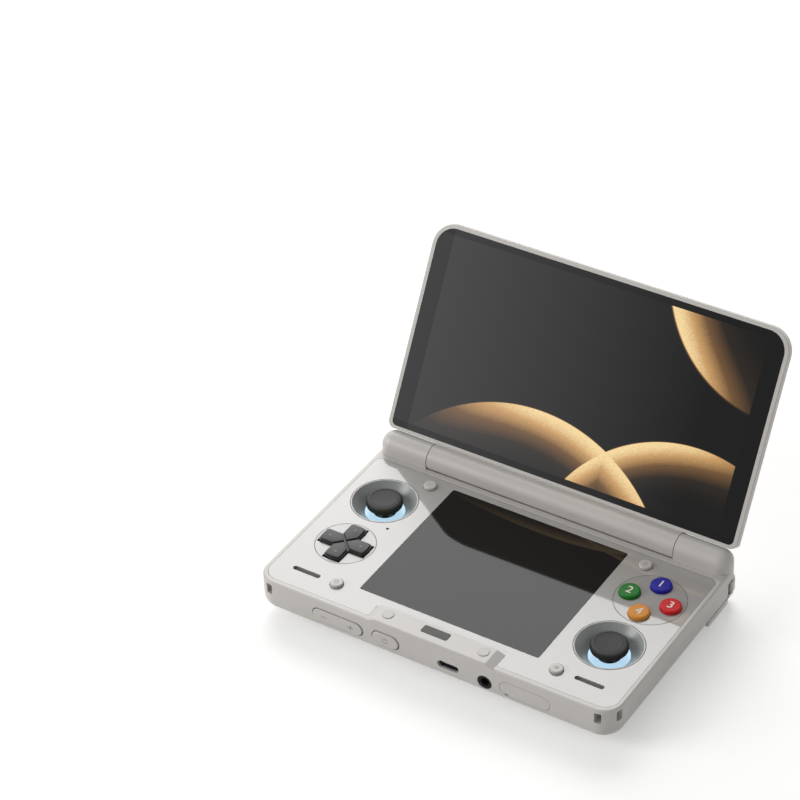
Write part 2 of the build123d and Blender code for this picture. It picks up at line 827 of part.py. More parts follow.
def add_tray_posts():
    """Screw seats, pillars under the button boards, and the two posts that carry the pad's pivot."""
    with BuildSketch(level(floor_top)) as outline:
        for place in (cluster_place, dpad_place):
            with Locations(place):
                with GridLocations(pillar_pitch, pillar_pitch, 2, 2):
                    Circle(pillar_radius)
    extrude(outline.sketch, amount=-button_board_drop - board_thickness - floor_top)
    with BuildSketch(level(floor_top)) as outline:
        with Locations(*screw_places):
            Circle(screw_boss)
    extrude(outline.sketch, amount=parting - floor_top)
    for side in sides.values():
        post_x = dpad_place[0] + side * (dpad_post_inner + dpad_ear / 2)
        with BuildSketch(level(floor_top)) as outline:
            with Locations((post_x, dpad_place[1])):
                Rectangle(dpad_ear, 2 * dpad_ear)
        extrude(outline.sketch, amount=-dpad_post_top - floor_top)
    with BuildSketch(Plane(origin=(dpad_place[0] - dpad_span / 2, dpad_place[1], deck_z - dpad_pivot_drop),
                           z_dir=(1, 0, 0))) as outline:
        Circle(dpad_pin + shaft_gap)
    extrude(outline.sketch, amount=dpad_span, mode=Mode.SUBTRACT)


def cut_tray_holes():
    """Screw holes from below, and the slots that the fan draws through."""
    with BuildSketch(level(underside)) as outline:
        with Locations(*screw_places):
            Circle(screw_radius + shaft_gap)
    extrude(outline.sketch, amount=parting_height, mode=Mode.SUBTRACT)
    with BuildSketch(level(underside)) as outline:
        with Locations(*screw_places):
            Circle(screw_head_radius + seam_gap)
    extrude(outline.sketch, amount=screw_head, mode=Mode.SUBTRACT)
    with BuildSketch(level(underside)) as outline:
        with Locations(fan_place):
            with GridLocations(0, grille_pitch, 1, grille_slots):
                SlotOverall(*grille_slot_size)
    extrude(outline.sketch, amount=floor_wall, mode=Mode.SUBTRACT)


def make_faceplate():
    """The glossy deck plate with its holes."""
    with BuildPart() as plate:
        with BuildSketch(level(-face_thickness)):
            faceplate_plan(0)
            with Locations(*sticks.values()):
                Circle(well_radius + seam_gap, mode=Mode.SUBTRACT)
            with Locations(dpad_place):
                Circle(dpad_disc + seam_gap, mode=Mode.SUBTRACT)
            with Locations(cluster_place):
                Circle(cluster_disc + seam_gap, mode=Mode.SUBTRACT)
            with Locations(*small_buttons):
                Circle(small_radius + slide_gap, mode=Mode.SUBTRACT)
            RectangleRounded(screen_size[0] + 2 * seam_gap, screen_size[1] + 2 * seam_gap,
                             screen_corner, mode=Mode.SUBTRACT)
            with Locations((-speaker_slot_x, speaker_slot_y), (speaker_slot_x, speaker_slot_y)):
                SlotOverall(*speaker_slot_size, mode=Mode.SUBTRACT)
            with Locations(mic_place):
                Circle(mic_radius, mode=Mode.SUBTRACT)
        extrude(amount=face_thickness)
    save("faceplate", plate.part)


def make_lower_screen():
    """The lower screen's glass, flush with the faceplate, and the display panel stuck under it."""
    with BuildPart() as glass:
        with BuildSketch(level(-face_thickness)):
            RectangleRounded(*screen_size, screen_corner)
        extrude(amount=face_thickness)
    save("lower_screen_glass", glass.part)
    with BuildPart() as panel:
        with BuildSketch(level(-face_thickness)):
            Rectangle(screen_size[0] + 2 * display_margin, screen_size[1] + 2 * display_margin)
        extrude(amount=-display_thickness)
    save("lower_display", panel.part)


def make_discs():
    """The flat discs round the pad and the face buttons, seated on the wall under the faceplate."""
    with BuildPart() as disc:
        with BuildSketch(level(-face_thickness)):
            with Locations(dpad_place):
                Circle(dpad_disc)
                Rectangle(dpad_span + 2 * dpad_gap, dpad_arm + 2 * dpad_gap, mode=Mode.SUBTRACT)
                Rectangle(dpad_arm + 2 * dpad_gap, dpad_span + 2 * dpad_gap, mode=Mode.SUBTRACT)
        extrude(amount=face_thickness)
    save("dpad_disc", disc.part)
    with BuildPart() as disc:
        with BuildSketch(level(-face_thickness)):
            with Locations(cluster_place):
                Circle(cluster_disc)
                with PolarLocations(cluster_pitch, 4):
                    Circle(face_button_radius + slide_gap, mode=Mode.SUBTRACT)
        extrude(amount=face_thickness)
    save("face_button_disc", disc.part)


def make_front_trim():
    """The badge plate, and the two pads that the lid closes on."""
    with BuildPart() as badge:
        with BuildSketch(level(bar_rise + badge_proud)):
            with Locations((0, badge_y)):
                RectangleRounded(*badge_size, badge_corner)
        extrude(amount=-badge_thickness)
    save("badge_plate", badge.part)
    with BuildPart() as pads:
        with BuildSketch(level(bar_rise)):
            with Locations((0, pad_y)):
                with GridLocations(pad_spacing, 0, 2, 1):
                    Circle(pad_radius)
        extrude(amount=pad_rise)
        fillet(pads.edges().group_by(Axis.Z)[-1], radius=pad_rise / 2)
    save("lid_pads", pads.part)


def make_stick_well(name, place):
    """The conical well round a stick: a lip in the deck, a flange under it and a floor for the ring."""
    bottom = -(well_depth + ring_thickness + well_floor)
    flange_top = -face_thickness
    floor = bottom + well_floor
    floor_hole = ring_hole + well_floor
    outer_floor = well_floor_radius + well_wall
    with BuildPart() as well:
        with BuildSketch(Plane(origin=(*place, deck_z), x_dir=(1, 0, 0), z_dir=(0, -1, 0))):
            with BuildLine():
                Polyline((well_radius - well_lip, 0), (well_radius, 0), (well_radius, flange_top),
                         (well_radius + well_flange, flange_top),
                         (well_radius + well_flange, flange_top - well_flange_thickness),
                         (well_radius, flange_top - well_flange_thickness), (outer_floor, bottom),
                         (floor_hole, bottom), (floor_hole, floor), (well_floor_radius, floor),
                         (well_floor_radius, -well_depth), close=True)
            make_face()
        revolve(axis=Axis((*place, 0), (0, 0, 1)))
    save(f"{name}_stick_well", well.part)


def make_light_rings():
    """The two light rings on the floors of the wells."""
    with BuildPart() as rings:
        with BuildSketch(level(-well_depth - ring_thickness)):
            with Locations(*sticks.values()):
                Circle(well_floor_radius - seam_gap)
                Circle(ring_hole, mode=Mode.SUBTRACT)
        extrude(amount=ring_thickness)
    save("light_rings", rings.part)


def make_stick_housings():
    """The housings that the gimbals hang in, open above, with a bearing hole in each side wall."""
    with BuildPart() as housings:
        with BuildSketch(level(floor_top)):
            with Locations(*sticks.values()):
                RectangleRounded(stick_housing, stick_housing, stick_housing_corner)
        extrude(amount=-stick_housing_top - floor_top)
        with BuildSketch(level(-stick_housing_top)):
            with Locations(*sticks.values()):
                Circle(stick_cavity)
        extrude(amount=floor_top + stick_housing_floor + stick_housing_top, mode=Mode.SUBTRACT)
        for place in sticks.values():
            with BuildSketch(along_x(*place, stick_pivot_drop)):
                Circle(trunnion_radius + shaft_gap)
            extrude(amount=stick_housing / 2, both=True, mode=Mode.SUBTRACT)
    save("stick_housings", housings.part)


def make_stick(name, place):
    """One stick: a ring that tilts about X, a rocker in it that tilts about Y, and the cap on its shaft."""
    pivot = (*place, deck_z - stick_pivot_drop)
    across = Plane(origin=pivot, z_dir=(1, 0, 0))
    along = Plane(origin=pivot, z_dir=(0, 1, 0))
    pivot_level = level(-stick_pivot_drop)
    with BuildPart() as ring:
        with BuildSketch(across):
            Circle(trunnion_radius)
        extrude(amount=stick_housing / 2 - seam_gap, both=True)
        with BuildSketch(pivot_level):
            with Locations(place):
                Circle(gimbal_outer)
        extrude(amount=gimbal_thickness / 2, both=True)
        with BuildSketch(pivot_level):
            with Locations(place):
                Circle(gimbal_inner)
        extrude(amount=gimbal_thickness, both=True, mode=Mode.SUBTRACT)
        with BuildSketch(along):
            Circle(trunnion_radius - shaft_gap)
        extrude(amount=gimbal_outer, both=True, mode=Mode.SUBTRACT)
    save(f"{name}_stick_gimbal", ring.part)
    with BuildPart() as rocker:
        with BuildSketch(along):
            Circle(trunnion_radius - 2 * shaft_gap)
        extrude(amount=gimbal_outer - seam_gap, both=True)
        with BuildSketch(pivot_level):
            with Locations(place):
                Circle(rocker_radius)
        extrude(amount=rocker_thickness / 2, both=True)
        with BuildSketch(pivot_level):
            with Locations(place):
                Circle(shaft_of_stick + shaft_gap)
        extrude(amount=rocker_thickness, both=True, mode=Mode.SUBTRACT)
    save(f"{name}_stick_rocker", rocker.part)
    with BuildPart() as cap:
        with BuildSketch(Plane(origin=(*place, deck_z), x_dir=(1, 0, 0), z_dir=(0, -1, 0))):
            with BuildLine():
                dish = Line((0, cap_rise - cap_dish), (cap_flat, cap_rise - cap_dish))
                rim = TangentArc(dish @ 1, (cap_radius - cap_rim[0], cap_rise), tangent=(1, 0))
                shoulder = cap_rise - cap_shoulder
                edge = ThreePointArc(rim @ 1, (cap_radius - cap_rim[1], cap_rise - cap_rim_drop),
                                     (cap_radius, shoulder))
                Polyline(edge @ 1, (cap_radius, shoulder - cap_side), (cap_under_radius, -cap_under_drop),
                         (neck_radius, -cap_under_drop - neck_flare), (neck_radius, -neck_drop),
                         (shaft_of_stick, -neck_drop), (shaft_of_stick, -stick_shaft_drop),
                         (0, -stick_shaft_drop), (0, cap_rise - cap_dish))
            make_face()
        revolve(axis=Axis((*place, 0), (0, 0, 1)))
    save(f"{name}_stick_cap", cap.part)


def make_dpad():
    """The four-way pad, grooved into four arms, and the small crossed pivot that it rocks on."""
    flange_bottom = -(dpad_flange_drop + dpad_flange_thickness)
    pivot_z = deck_z - dpad_pivot_drop
    with BuildPart() as pad:
        with BuildSketch(level(flange_bottom)):
            with Locations(dpad_place):
                Rectangle(dpad_span, dpad_arm)
                Rectangle(dpad_arm, dpad_span)
            ends = (dpad_arm / 2, dpad_span / 2)
            fillet(vertices().filter_by(lambda v: max(abs(v.X - dpad_place[0]), abs(v.Y - dpad_place[1]))
                                        > sum(ends) / 2), radius=dpad_corner)
        extrude(amount=dpad_rise - flange_bottom)
        fillet(pad.edges().group_by(Axis.Z)[-1], radius=dpad_edge)
        with BuildSketch(level(dpad_rise)):
            with Locations(Location((*dpad_place, 0), 45), Location((*dpad_place, 0), -45)):
                Rectangle(sqrt(2) * dpad_arm, dpad_groove)
        extrude(amount=-dpad_groove_depth, mode=Mode.SUBTRACT)
        with BuildSketch(level(flange_bottom)):
            with Locations(dpad_place):
                Rectangle(*pad_flange)
                Rectangle(pad_flange[1], pad_flange[0])
        extrude(amount=dpad_flange_thickness)
        for side in sides.values():
            ear_y = dpad_place[1] + side * (dpad_ear_inner + dpad_ear / 2)
            with BuildSketch(level(flange_bottom)):
                with Locations((dpad_place[0], ear_y)):
                    Rectangle(2 * dpad_ear, dpad_ear)
            extrude(amount=-(dpad_pivot_drop + dpad_ear_depth + flange_bottom))
        with BuildSketch(Plane(origin=(*dpad_place, pivot_z), z_dir=(0, 1, 0))):
            Circle(dpad_pin + shaft_gap)
        extrude(amount=dpad_ear_inner + dpad_ear, both=True, mode=Mode.SUBTRACT)
    save("dpad", pad.part)
    with BuildPart() as pivot:
        with BuildSketch(Plane(origin=(*dpad_place, pivot_z), z_dir=(1, 0, 0))):
            Circle(dpad_pin)
        extrude(amount=dpad_post_inner + dpad_ear, both=True)
        with BuildSketch(Plane(origin=(*dpad_place, pivot_z), z_dir=(0, 1, 0))):
            Circle(dpad_pin)
        extrude(amount=dpad_ear_inner + dpad_ear, both=True)
        with BuildSketch(level(-dpad_pivot_drop)):
            with Locations(dpad_place):
                Circle(dpad_ear_inner - swing_gap)
        extrude(amount=dpad_hub, both=True)
    save("dpad_pivot", pivot.part)


def make_round_button(name, place, radius, rise, round_edge, flange, drop, thickness):
    """A round button with the flange that keeps it in its hole."""
    with BuildPart() as button:
        with BuildSketch(level(-drop - thickness)):
            with Locations(place):
                Circle(radius)
        extrude(amount=drop + thickness + rise)
        fillet(button.edges().group_by(Axis.Z)[-1], radius=round_edge)
        with BuildSketch(level(-drop - thickness)):
            with Locations(place):
                Circle(flange)
        extrude(amount=thickness)
    save(name, button.part)


def make_buttons():
    """The four face buttons and the four small ones."""
    x, y = cluster_place
    places = {"right": (x + cluster_pitch, y), "back": (x, y + cluster_pitch),
              "left": (x - cluster_pitch, y), "front": (x, y - cluster_pitch)}
    for name, place in places.items():
        make_round_button(f"{name}_face_button", place, face_button_radius, face_button_rise,
                          face_button_round, face_flange_radius, face_flange_drop, face_flange_thickness)
    names = ["upper_left", "upper_right", "lower_left", "lower_right"]
    for name, place in zip(names, small_buttons):
        make_round_button(f"{name}_button", place, small_radius, small_rise, small_round,
                          small_flange_radius, small_flange_drop, small_flange_thickness)


def key_board_plan():
    """Plan of the square sheets under the face buttons and under the pad, cut out round the pad's posts."""
    with Locations(cluster_place, dpad_place):
        RectangleRounded(2 * button_board_reach, 2 * button_board_reach, pillar_radius)
    with Locations(dpad_place):
        Rectangle(2 * (dpad_post_inner + dpad_ear + swing_gap), 2 * (dpad_ear_inner + dpad_ear + swing_gap),
                  mode=Mode.SUBTRACT)


def make_domes_and_boards():
    """Rubber sheets with a dome under each key, on the two boards that they press."""
    sheet_top = sheet_thickness - button_board_drop
    groups = [(cluster_place, cluster_pitch, face_dome_drop), (dpad_place, pad_dome_ring, pad_dome_drop)]
    with BuildPart() as domes:
        with BuildSketch(level(-button_board_drop)):
            key_board_plan()
        extrude(amount=sheet_thickness)
        for place, ring, drop in groups:
            with BuildSketch(level(sheet_top)):
                with Locations(place):
                    with PolarLocations(ring, 4):
                        Circle(dome_radius)
            extrude(amount=-drop - sheet_top, taper=dome_taper)
    save("key_domes", domes.part)
    with BuildPart() as boards:
        with BuildSketch(level(-button_board_drop)):
            key_board_plan()
        extrude(amount=-board_thickness)
    save("button_boards", boards.part)


def make_main_board():
    """The main board under the lower display, cut round the wells, the keys and the screw posts."""
    front = inner_front + board_front_gap
    square = 2 * (button_board_reach + swing_gap)
    with BuildPart() as board:
        with BuildSketch(level(board_top)):
            with Locations((0, (front + board_back) / 2)):
                Rectangle(2 * board_half, board_back - front)
            with Locations(*sticks.values()):
                Circle(well_radius, mode=Mode.SUBTRACT)
            with Locations(dpad_place, cluster_place):
                Rectangle(square, square, mode=Mode.SUBTRACT)
            with Locations(*screw_places):
                Circle(screw_boss + swing_gap, mode=Mode.SUBTRACT)
            with Locations((rocker_place[0], rocker_pin_y)):
                Circle(rocker_lug + swing_gap, mode=Mode.SUBTRACT)
            with Locations((rocker_place[0], front)):
                Rectangle(rocker_size[0] + 2 * flange_growth[0], 2 * (rocker_switch_y - front),
                          mode=Mode.SUBTRACT)
            with Locations((power_place[0], front)):
                Rectangle(power_size[0] + 2 * flange_growth[0], 2 * (power_switch_y - front),
                          mode=Mode.SUBTRACT)
        extrude(amount=-board_thickness)
    save("main_board", board.part)


def make_switches():
    """Tact switches: one behind each small button, two behind the rocker, one behind the power button."""
    pressed = small_flange_drop + small_flange_thickness + small_travel
    spread = rocker_size[0] / 2 - rocker_switch_from_end
    behind = [(rocker_place[0] - spread, rocker_switch_y), (rocker_place[0] + spread, rocker_switch_y),
              (power_place[0], power_switch_y)]
    with BuildPart() as switches:
        with BuildSketch(level(board_top)):
            with Locations(*small_buttons):
                RectangleRounded(switch_size, switch_size, switch_gap)
        extrude(amount=-pressed - switch_gap - board_top)
        with BuildSketch(level(board_bottom)):
            with Locations(*behind):
                Rectangle(switch_size, switch_size, align=(Align.CENTER, Align.MIN))
        extrude(amount=-switch_size)
    save("tact_switches", switches.part)


def make_rocker():
    """The volume rocker, with its flange behind the wall and the lug that it turns on."""
    lug_top = rocker_place[1] + rocker_lug - swing_gap
    with BuildPart() as rocker:
        with BuildSketch(upright(-front_reach - rocker_proud)):
            with Locations(rocker_place):
                SlotOverall(*rocker_size)
        extrude(amount=-(rocker_front + front_reach + rocker_proud))
        fillet(rocker.edges().group_by(Axis.Y)[0], radius=front_key_round)
        with BuildSketch(upright(rocker_front)):
            with Locations(rocker_place):
                SlotOverall(rocker_size[0] + flange_growth[0], rocker_size[1] + flange_growth[1])
        extrude(amount=-flange_thickness)
        with BuildSketch(level(lug_top)):
            with Locations((rocker_place[0], rocker_pin_y)):
                Circle(rocker_lug)
            with Locations((rocker_place[0], rocker_front)):
                Rectangle(2 * rocker_lug, rocker_pin_y - rocker_front, align=(Align.CENTER, Align.MIN))
        extrude(amount=-2 * rocker_lug)
        with BuildSketch(level(lug_top)):
            with Locations((rocker_place[0], rocker_pin_y)):
                Circle(rocker_pin + shaft_gap)
        extrude(amount=-2 * rocker_lug, mode=Mode.SUBTRACT)
    save("volume_rocker", rocker.part)


def make_power_button():
    """The power button, a rounded bar that slides in."""
    with BuildPart() as button:
        with BuildSketch(upright(-front_reach - power_proud)):
            with Locations(power_place):
                SlotOverall(*power_size)
        extrude(amount=-(power_front + front_reach + power_proud))
        fillet(button.edges().group_by(Axis.Y)[0], radius=front_key_round)
        with BuildSketch(upright(power_front)):
            with Locations(power_place):
                SlotOverall(power_size[0] + flange_growth[0], power_size[1] + flange_growth[1])
        extrude(amount=-flange_thickness)
    save("power_button", button.part)


def make_ports():
    """The charging port, the headphone jack and the card reader, hung under the main board."""
    front = -front_reach + usb_set_back
    shell = seam_gap + usb_shell
    with BuildPart() as port:
        with BuildSketch(upright(front)):
            with Locations(usb_place):
                SlotOverall(usb_size[0] - 2 * seam_gap, usb_size[1] - 2 * seam_gap)
        extrude(amount=-usb_depth)
        with BuildSketch(upright(front)):
            with Locations(usb_place):
                SlotOverall(usb_size[0] - 2 * shell, usb_size[1] - 2 * shell)
        extrude(amount=-(usb_depth - usb_shell), mode=Mode.SUBTRACT)
        with BuildSketch(upright(front + 3 * usb_shell)):
            with Locations(usb_place):
                Rectangle(*usb_tongue)
        extrude(amount=-(usb_depth - 4 * usb_shell))
    save("usb_port", port.part)
    nose = -front_reach + jack_set_back
    with BuildPart() as jack:
        with BuildSketch(upright(nose)):
            with Locations(jack_place):
                Circle(jack_nose)
        extrude(amount=-(inner_front + seam_gap - nose))
        with BuildSketch(upright(inner_front + seam_gap)):
            with Locations((jack_place[0], board_bottom)):
                Rectangle(jack_block[0], board_bottom - jack_place[1] + jack_block_drop,
                          align=(Align.CENTER, Align.MAX))
        extrude(amount=-jack_block[1])
        with BuildSketch(upright(nose)):
            with Locations(jack_place):
                Circle(jack_bore)
        extrude(amount=-jack_depth, mode=Mode.SUBTRACT)
    save("headphone_jack", jack.part)
    with BuildPart() as reader:
        with BuildSketch(level(board_bottom)):
            with Locations((flap_place[0], inner_front + seam_gap)):
                Rectangle(reader_size[0], reader_size[1], align=(Align.CENTER, Align.MIN))
        extrude(amount=-reader_size[2])
        with BuildSketch(upright(inner_front)):
            with Locations(flap_place):
                Rectangle(*card_slot)
        extrude(amount=card_slot_wall - reader_size[1], mode=Mode.SUBTRACT)
    save("card_reader", reader.part)


def make_card_flap():
    """The flap over the card slot, flush with the wall, with a nick for a nail."""
    with BuildPart() as flap:
        with BuildSketch(upright(-front_reach)):
            with Locations(flap_place):
                SlotOverall(*flap_size)
        extrude(amount=-flap_thickness)
        with BuildSketch(upright(-front_reach)):
            with Locations((flap_place[0] - flap_nick_spacing, flap_place[1] - flap_size[1] / 2)):
                Circle(flap_nick)
        extrude(amount=-flap_thickness / 2, mode=Mode.SUBTRACT)
    save("card_flap", flap.part)


def make_bumpers():
    """A shoulder bumper: a strip that wraps the rear corner and turns on a pin at its inner end."""
    outer = half_width + bumper_side_proud
    arm = outer - bumper_thickness
    back = back_reach + bumper_proud
    front = back - bumper_thickness
    inner = pocket_inner + bumper_end_gap
    height = bumper_bottom_drop - pocket_ceiling_drop - bumper_top_gap
    with BuildPart() as bumper:
        with BuildSketch(level(-bumper_bottom_drop)):
            fill_outline([(inner, front), (inner, back), (outer, back), (outer, bumper_arm_front),
                          (arm, bumper_arm_front), (arm, front)],
                         [0, bumper_end_round, rear_corner + bumper_proud, bumper_end_round, 0,
                          rear_corner - bumper_thickness / 2])
        extrude(amount=height)
        fillet(bumper.edges().group_by(Axis.Z)[-1], radius=bumper_edge)
        with BuildSketch(level(-bumper_bottom_drop)):
            with Locations(bumper_pivot):
                Circle(bumper_pin + shaft_gap)
        extrude(amount=height, mode=Mode.SUBTRACT)
    save_pair("bumper", bumper.part)


def make_triggers():
    """A trigger: round below, turning on a pin across its top, with its front cut back for the swing."""
    inner = pocket_inner + bumper_end_gap
    back = back_reach + bumper_proud
    bottom = underside - lobe_height + trigger_lift
    with BuildPart() as trigger:
        with BuildSketch(upright(back)):
            fill_outline([(inner, trigger_top), (inner, bottom), (half_width, bottom),
                          (half_width, trigger_top)],
                         [0, trigger_outline_round, trigger_outline_round, 0])
        extrude(amount=back - trigger_front)
        with BuildSketch(side_on(inner - cut_over)):
            fill_outline([(trigger_front, trigger_top - trigger_relief), (trigger_pivot_y, trigger_top),
                          (back, trigger_top), (back, bottom + trigger_back_rise), (trigger_heel, bottom),
                          (trigger_front + trigger_toe, bottom)],
                         [0, 0, bumper_edge, trigger_back_round, trigger_back_round, bumper_end_round])
        extrude(amount=half_width, mode=Mode.INTERSECT)
        with BuildSketch(level(bottom - cut_over)):
            fill_outline([(inner - cut_over, trigger_front - cut_over), (inner - cut_over, back),
                          (half_width, back), (half_width, trigger_front - cut_over)],
                         [0, 0, rear_corner + bumper_proud, 0])
        extrude(amount=base_thickness, mode=Mode.INTERSECT)
        with BuildSketch(along_x(inner, trigger_pivot_y, -parting)):
            Circle(trigger_pin + shaft_gap)
        extrude(amount=trigger_pin_length - bulkhead, mode=Mode.SUBTRACT)
    save_pair("trigger", trigger.part)


def make_pivot_pins():
    """The steel pins that the bumpers, the triggers and the volume rocker turn on."""
    with BuildPart() as pins:
        for side in sides.values():
            with BuildSketch(level(-bumper_bottom_drop)):
                with Locations((side * bumper_pivot[0], bumper_pivot[1])):
                    Circle(bumper_pin)
            extrude(amount=bumper_bottom_drop + ceiling)
            with BuildSketch(along_x(side * (pocket_inner - bulkhead), trigger_pivot_y, -parting)):
                Circle(trigger_pin)
            extrude(amount=trigger_pin_length)
        with BuildSketch(level(ceiling)):
            with Locations((rocker_place[0], rocker_pin_y)):
                Circle(rocker_pin)
        extrude(amount=rocker_place[1] - rocker_lug - swing_gap - ceiling)
    save("pivot_pins", pins.part)


def make_power_train():
    """Battery, fan and heatsink on the tray's floor."""
    with BuildPart() as battery:
        with BuildSketch(level(floor_top)):
            with Locations(((battery_left + battery_right) / 2, (battery_front + battery_back) / 2)):
                RectangleRounded(battery_right - battery_left, battery_back - battery_front, battery_corner)
        extrude(amount=battery_thickness)
    save("battery", battery.part)
    with BuildPart() as housing:
        with BuildSketch(level(floor_top)):
            with Locations(fan_place):
                RectangleRounded(fan_size[0], fan_size[1], battery_corner)
        extrude(amount=fan_size[2])
        with BuildSketch(level(floor_top + fan_floor)):
            with Locations(fan_place):
                Circle(fan_bore)
        extrude(amount=fan_size[2], mode=Mode.SUBTRACT)
        with BuildSketch(level(floor_top)):
            with Locations(fan_place):
                with PolarLocations(fan_vent_ring, fan_vents):
                    Circle(fan_vent_radius)
        extrude(amount=fan_floor, mode=Mode.SUBTRACT)
        with BuildSketch(level(floor_top)):
            with Locations(fan_place):
                Circle(fan_spindle)
        extrude(amount=fan_size[2] - seam_gap)
    save("fan_housing", housing.part)
    with BuildPart() as impeller:
        with BuildSketch(level(floor_top + fan_floor + swing_gap)):
            with Locations(fan_place):
                Circle(hub_radius)
                with PolarLocations((hub_radius + blade_reach) / 2, blade_count):
                    Rectangle(blade_reach - hub_radius + blade_thickness, blade_thickness,
                              rotation=blade_turn)
                Circle(fan_spindle + shaft_gap, mode=Mode.SUBTRACT)
        extrude(amount=impeller_height)
    save("fan_impeller", impeller.part)
    with BuildPart() as sink:
        with BuildSketch(level(floor_top)):
            with Locations((fan_place[0], heatsink_y)):
                Rectangle(heatsink_size[0], heatsink_size[1])
        extrude(amount=fan_floor)
        with BuildSketch(level(floor_top)):
            with Locations((fan_place[0], heatsink_y)):
                with GridLocations((heatsink_size[0] - fin_thickness) / (fin_count - 1), 0, fin_count, 1):
                    Rectangle(fin_thickness, heatsink_size[1])
        extrude(amount=heatsink_size[2])
    save("heatsink", sink.part)


def make_speakers():
    """A speaker under each slot, against the case's inner face."""
    with BuildPart() as speakers:
        with BuildSketch(level(ceiling)):
            with Locations((0, speaker_slot_y - speaker_ahead)):
                with GridLocations(2 * speaker_slot_x, 0, 2, 1):
                    RectangleRounded(speaker_size[0], speaker_size[1], speaker_corner)
        extrude(amount=-speaker_size[2])
    save("speakers", speakers.part)


def make_screws_and_feet():
    """The case screws from below, and the rubber pads on the front feet."""
    with BuildPart() as screws:
        with BuildSketch(level(underside)):
            with Locations(*screw_places):
                Circle(screw_head_radius)
        extrude(amount=screw_head)
        with BuildSketch(level(underside + screw_head)):
            with Locations(*screw_places):
                Circle(screw_radius)
        extrude(amount=screw_length)
    save("case_screws", screws.part)
    with BuildPart() as feet:
        with BuildSketch(Plane.XY):
            with Locations((0, foot_place[1])):
                with GridLocations(2 * foot_place[0], 0, 2, 1):
                    Circle(foot_pad_radius)
        extrude(amount=foot_pad_thickness)
    save("front_feet", feet.part)


def make_hinges():
    """In each tower a bracket with a friction bore, and the lid's shaft that turns in it."""
    with BuildPart() as brackets:
        for side in sides.values():
            length = bracket_to - bracket_from
            with BuildSketch(along_x(side * bracket_from, hinge_y, -hinge_rise)):
                Circle(bracket_radius)
            extrude(amount=length)
            with BuildSketch(level(ceiling)):
                with Locations((side * (bracket_from + length / 2), hinge_y)):
                    Rectangle(bracket_foot, bracket_radius)
            extrude(amount=hinge_rise - ceiling)
            with BuildSketch(along_x(side * bracket_from, hinge_y, -hinge_rise)):
                Circle(shaft_radius + shaft_gap)
            extrude(amount=length, mode=Mode.SUBTRACT)
    save("hinge_brackets", brackets.part)
    with BuildPart() as shafts:
        for side in sides.values():
            with BuildSketch(along_x(side * shaft_from, hinge_y, -hinge_rise)):
                Circle(shaft_radius)
            extrude(amount=shaft_to - shaft_from)
            with BuildSketch(lid_section(side * shaft_from)):
                leaf_outline()
            extrude(amount=side * leaf_width)
    save("hinge_shafts", shafts.part)


def leaf_outline():
    """Section of a leaf that joins a shaft to the lid: a heel at the shaft, then flat on the lid's back."""
    heel_bottom = lid_back_floor + leaf_heel_rise
    with BuildLine() as edge:
        Polyline((leaf_heel[0], 0), (leaf_heel[0], heel_bottom), (0, lid_back_floor + leaf_foot),
                 (leaf_foot, lid_back_floor), (leaf_reach, lid_back_floor),
                 (leaf_reach, panel_floor - seam_gap), (leaf_heel[1], panel_floor - seam_gap),
                 (leaf_heel[1], 0), close=True)
    make_face(edge.edges())


def lid_plan(inset, top_corner, bottom_corner, bottom=lid_bottom):
    """Plan of the lid, drawn in by this much at its top and sides."""
    edge = lid_width / 2 - inset
    top = lid_top - inset
    fill_outline([(-edge, bottom), (edge, bottom), (edge, top), (-edge, top)],
                 [bottom_corner, bottom_corner, top_corner, top_corner])


def barrel_half_outline(front):
    """Half of the barrel's section: round in front, and behind it flat up to the lid's back."""
    if front:
        with BuildLine() as edge:
            start = sqrt(barrel_radius**2 - lid_split**2)
            arc = ThreePointArc((-start, lid_split), (0, barrel_radius), (start, lid_split))
            Line(arc @ 1, arc @ 0)
        make_face(edge.edges())
        with BuildLine() as web:
            Polyline((0, lid_split), (web_top, lid_split), (web_top, web_rise), (0, web_rise), close=True)
        make_face(web.edges())
        return
    with BuildLine() as edge:
        start = sqrt(barrel_radius**2 - lid_split**2)
        middle = (-barrel_radius * sin(radians(60)), -barrel_radius * cos(radians(60)))
        arc = ThreePointArc((-start, lid_split), middle, (0, -barrel_radius))
        seam = lid_bottom - seam_gap
        Polyline(arc @ 1, (seam, lid_back), (seam, lid_split), arc @ 0)
    make_face(edge.edges())


def make_lid_front_frame():
    """The frame round the upper glass, moulded in one with the front of the barrel."""
    with BuildPart() as frame:
        with BuildSketch(lid_layer(lid_split)):
            lid_plan(0, lid_top_corner, lid_bottom_corner)
        extrude(amount=lid_face_rise - lid_split)
        face = frame.faces().sort_by(lid_facing)[-1]
        fillet(face.edges(), radius=lid_edge_round)
        with BuildSketch(lid_section(-barrel_half)):
            barrel_half_outline(front=True)
        extrude(amount=2 * barrel_half)
        with BuildSketch(lid_layer(glass_floor)):
            lid_glass_plan(seam_gap)
        extrude(amount=2 * top_glass_thickness, mode=Mode.SUBTRACT)
        with BuildSketch(lid_layer(glass_floor)):
            with Locations((0, lid_middle)):
                Rectangle(top_display_size[0] + 2 * seam_gap, top_display_size[1] + 2 * seam_gap)
        extrude(amount=lid_split - glass_floor, mode=Mode.SUBTRACT)
        cut_barrel_bore()
    save("lid_front_frame", frame.part)


def lid_glass_plan(gap):
    """Plan of the upper glass, grown by this gap."""
    edge = glass_width / 2 + gap
    corner = lid_top_corner - lid_rim
    fill_outline([(-edge, glass_bottom - gap), (edge, glass_bottom - gap), (edge, glass_top + gap),
                  (-edge, glass_top + gap)], [glass_bottom_corner, glass_bottom_corner, corner, corner])


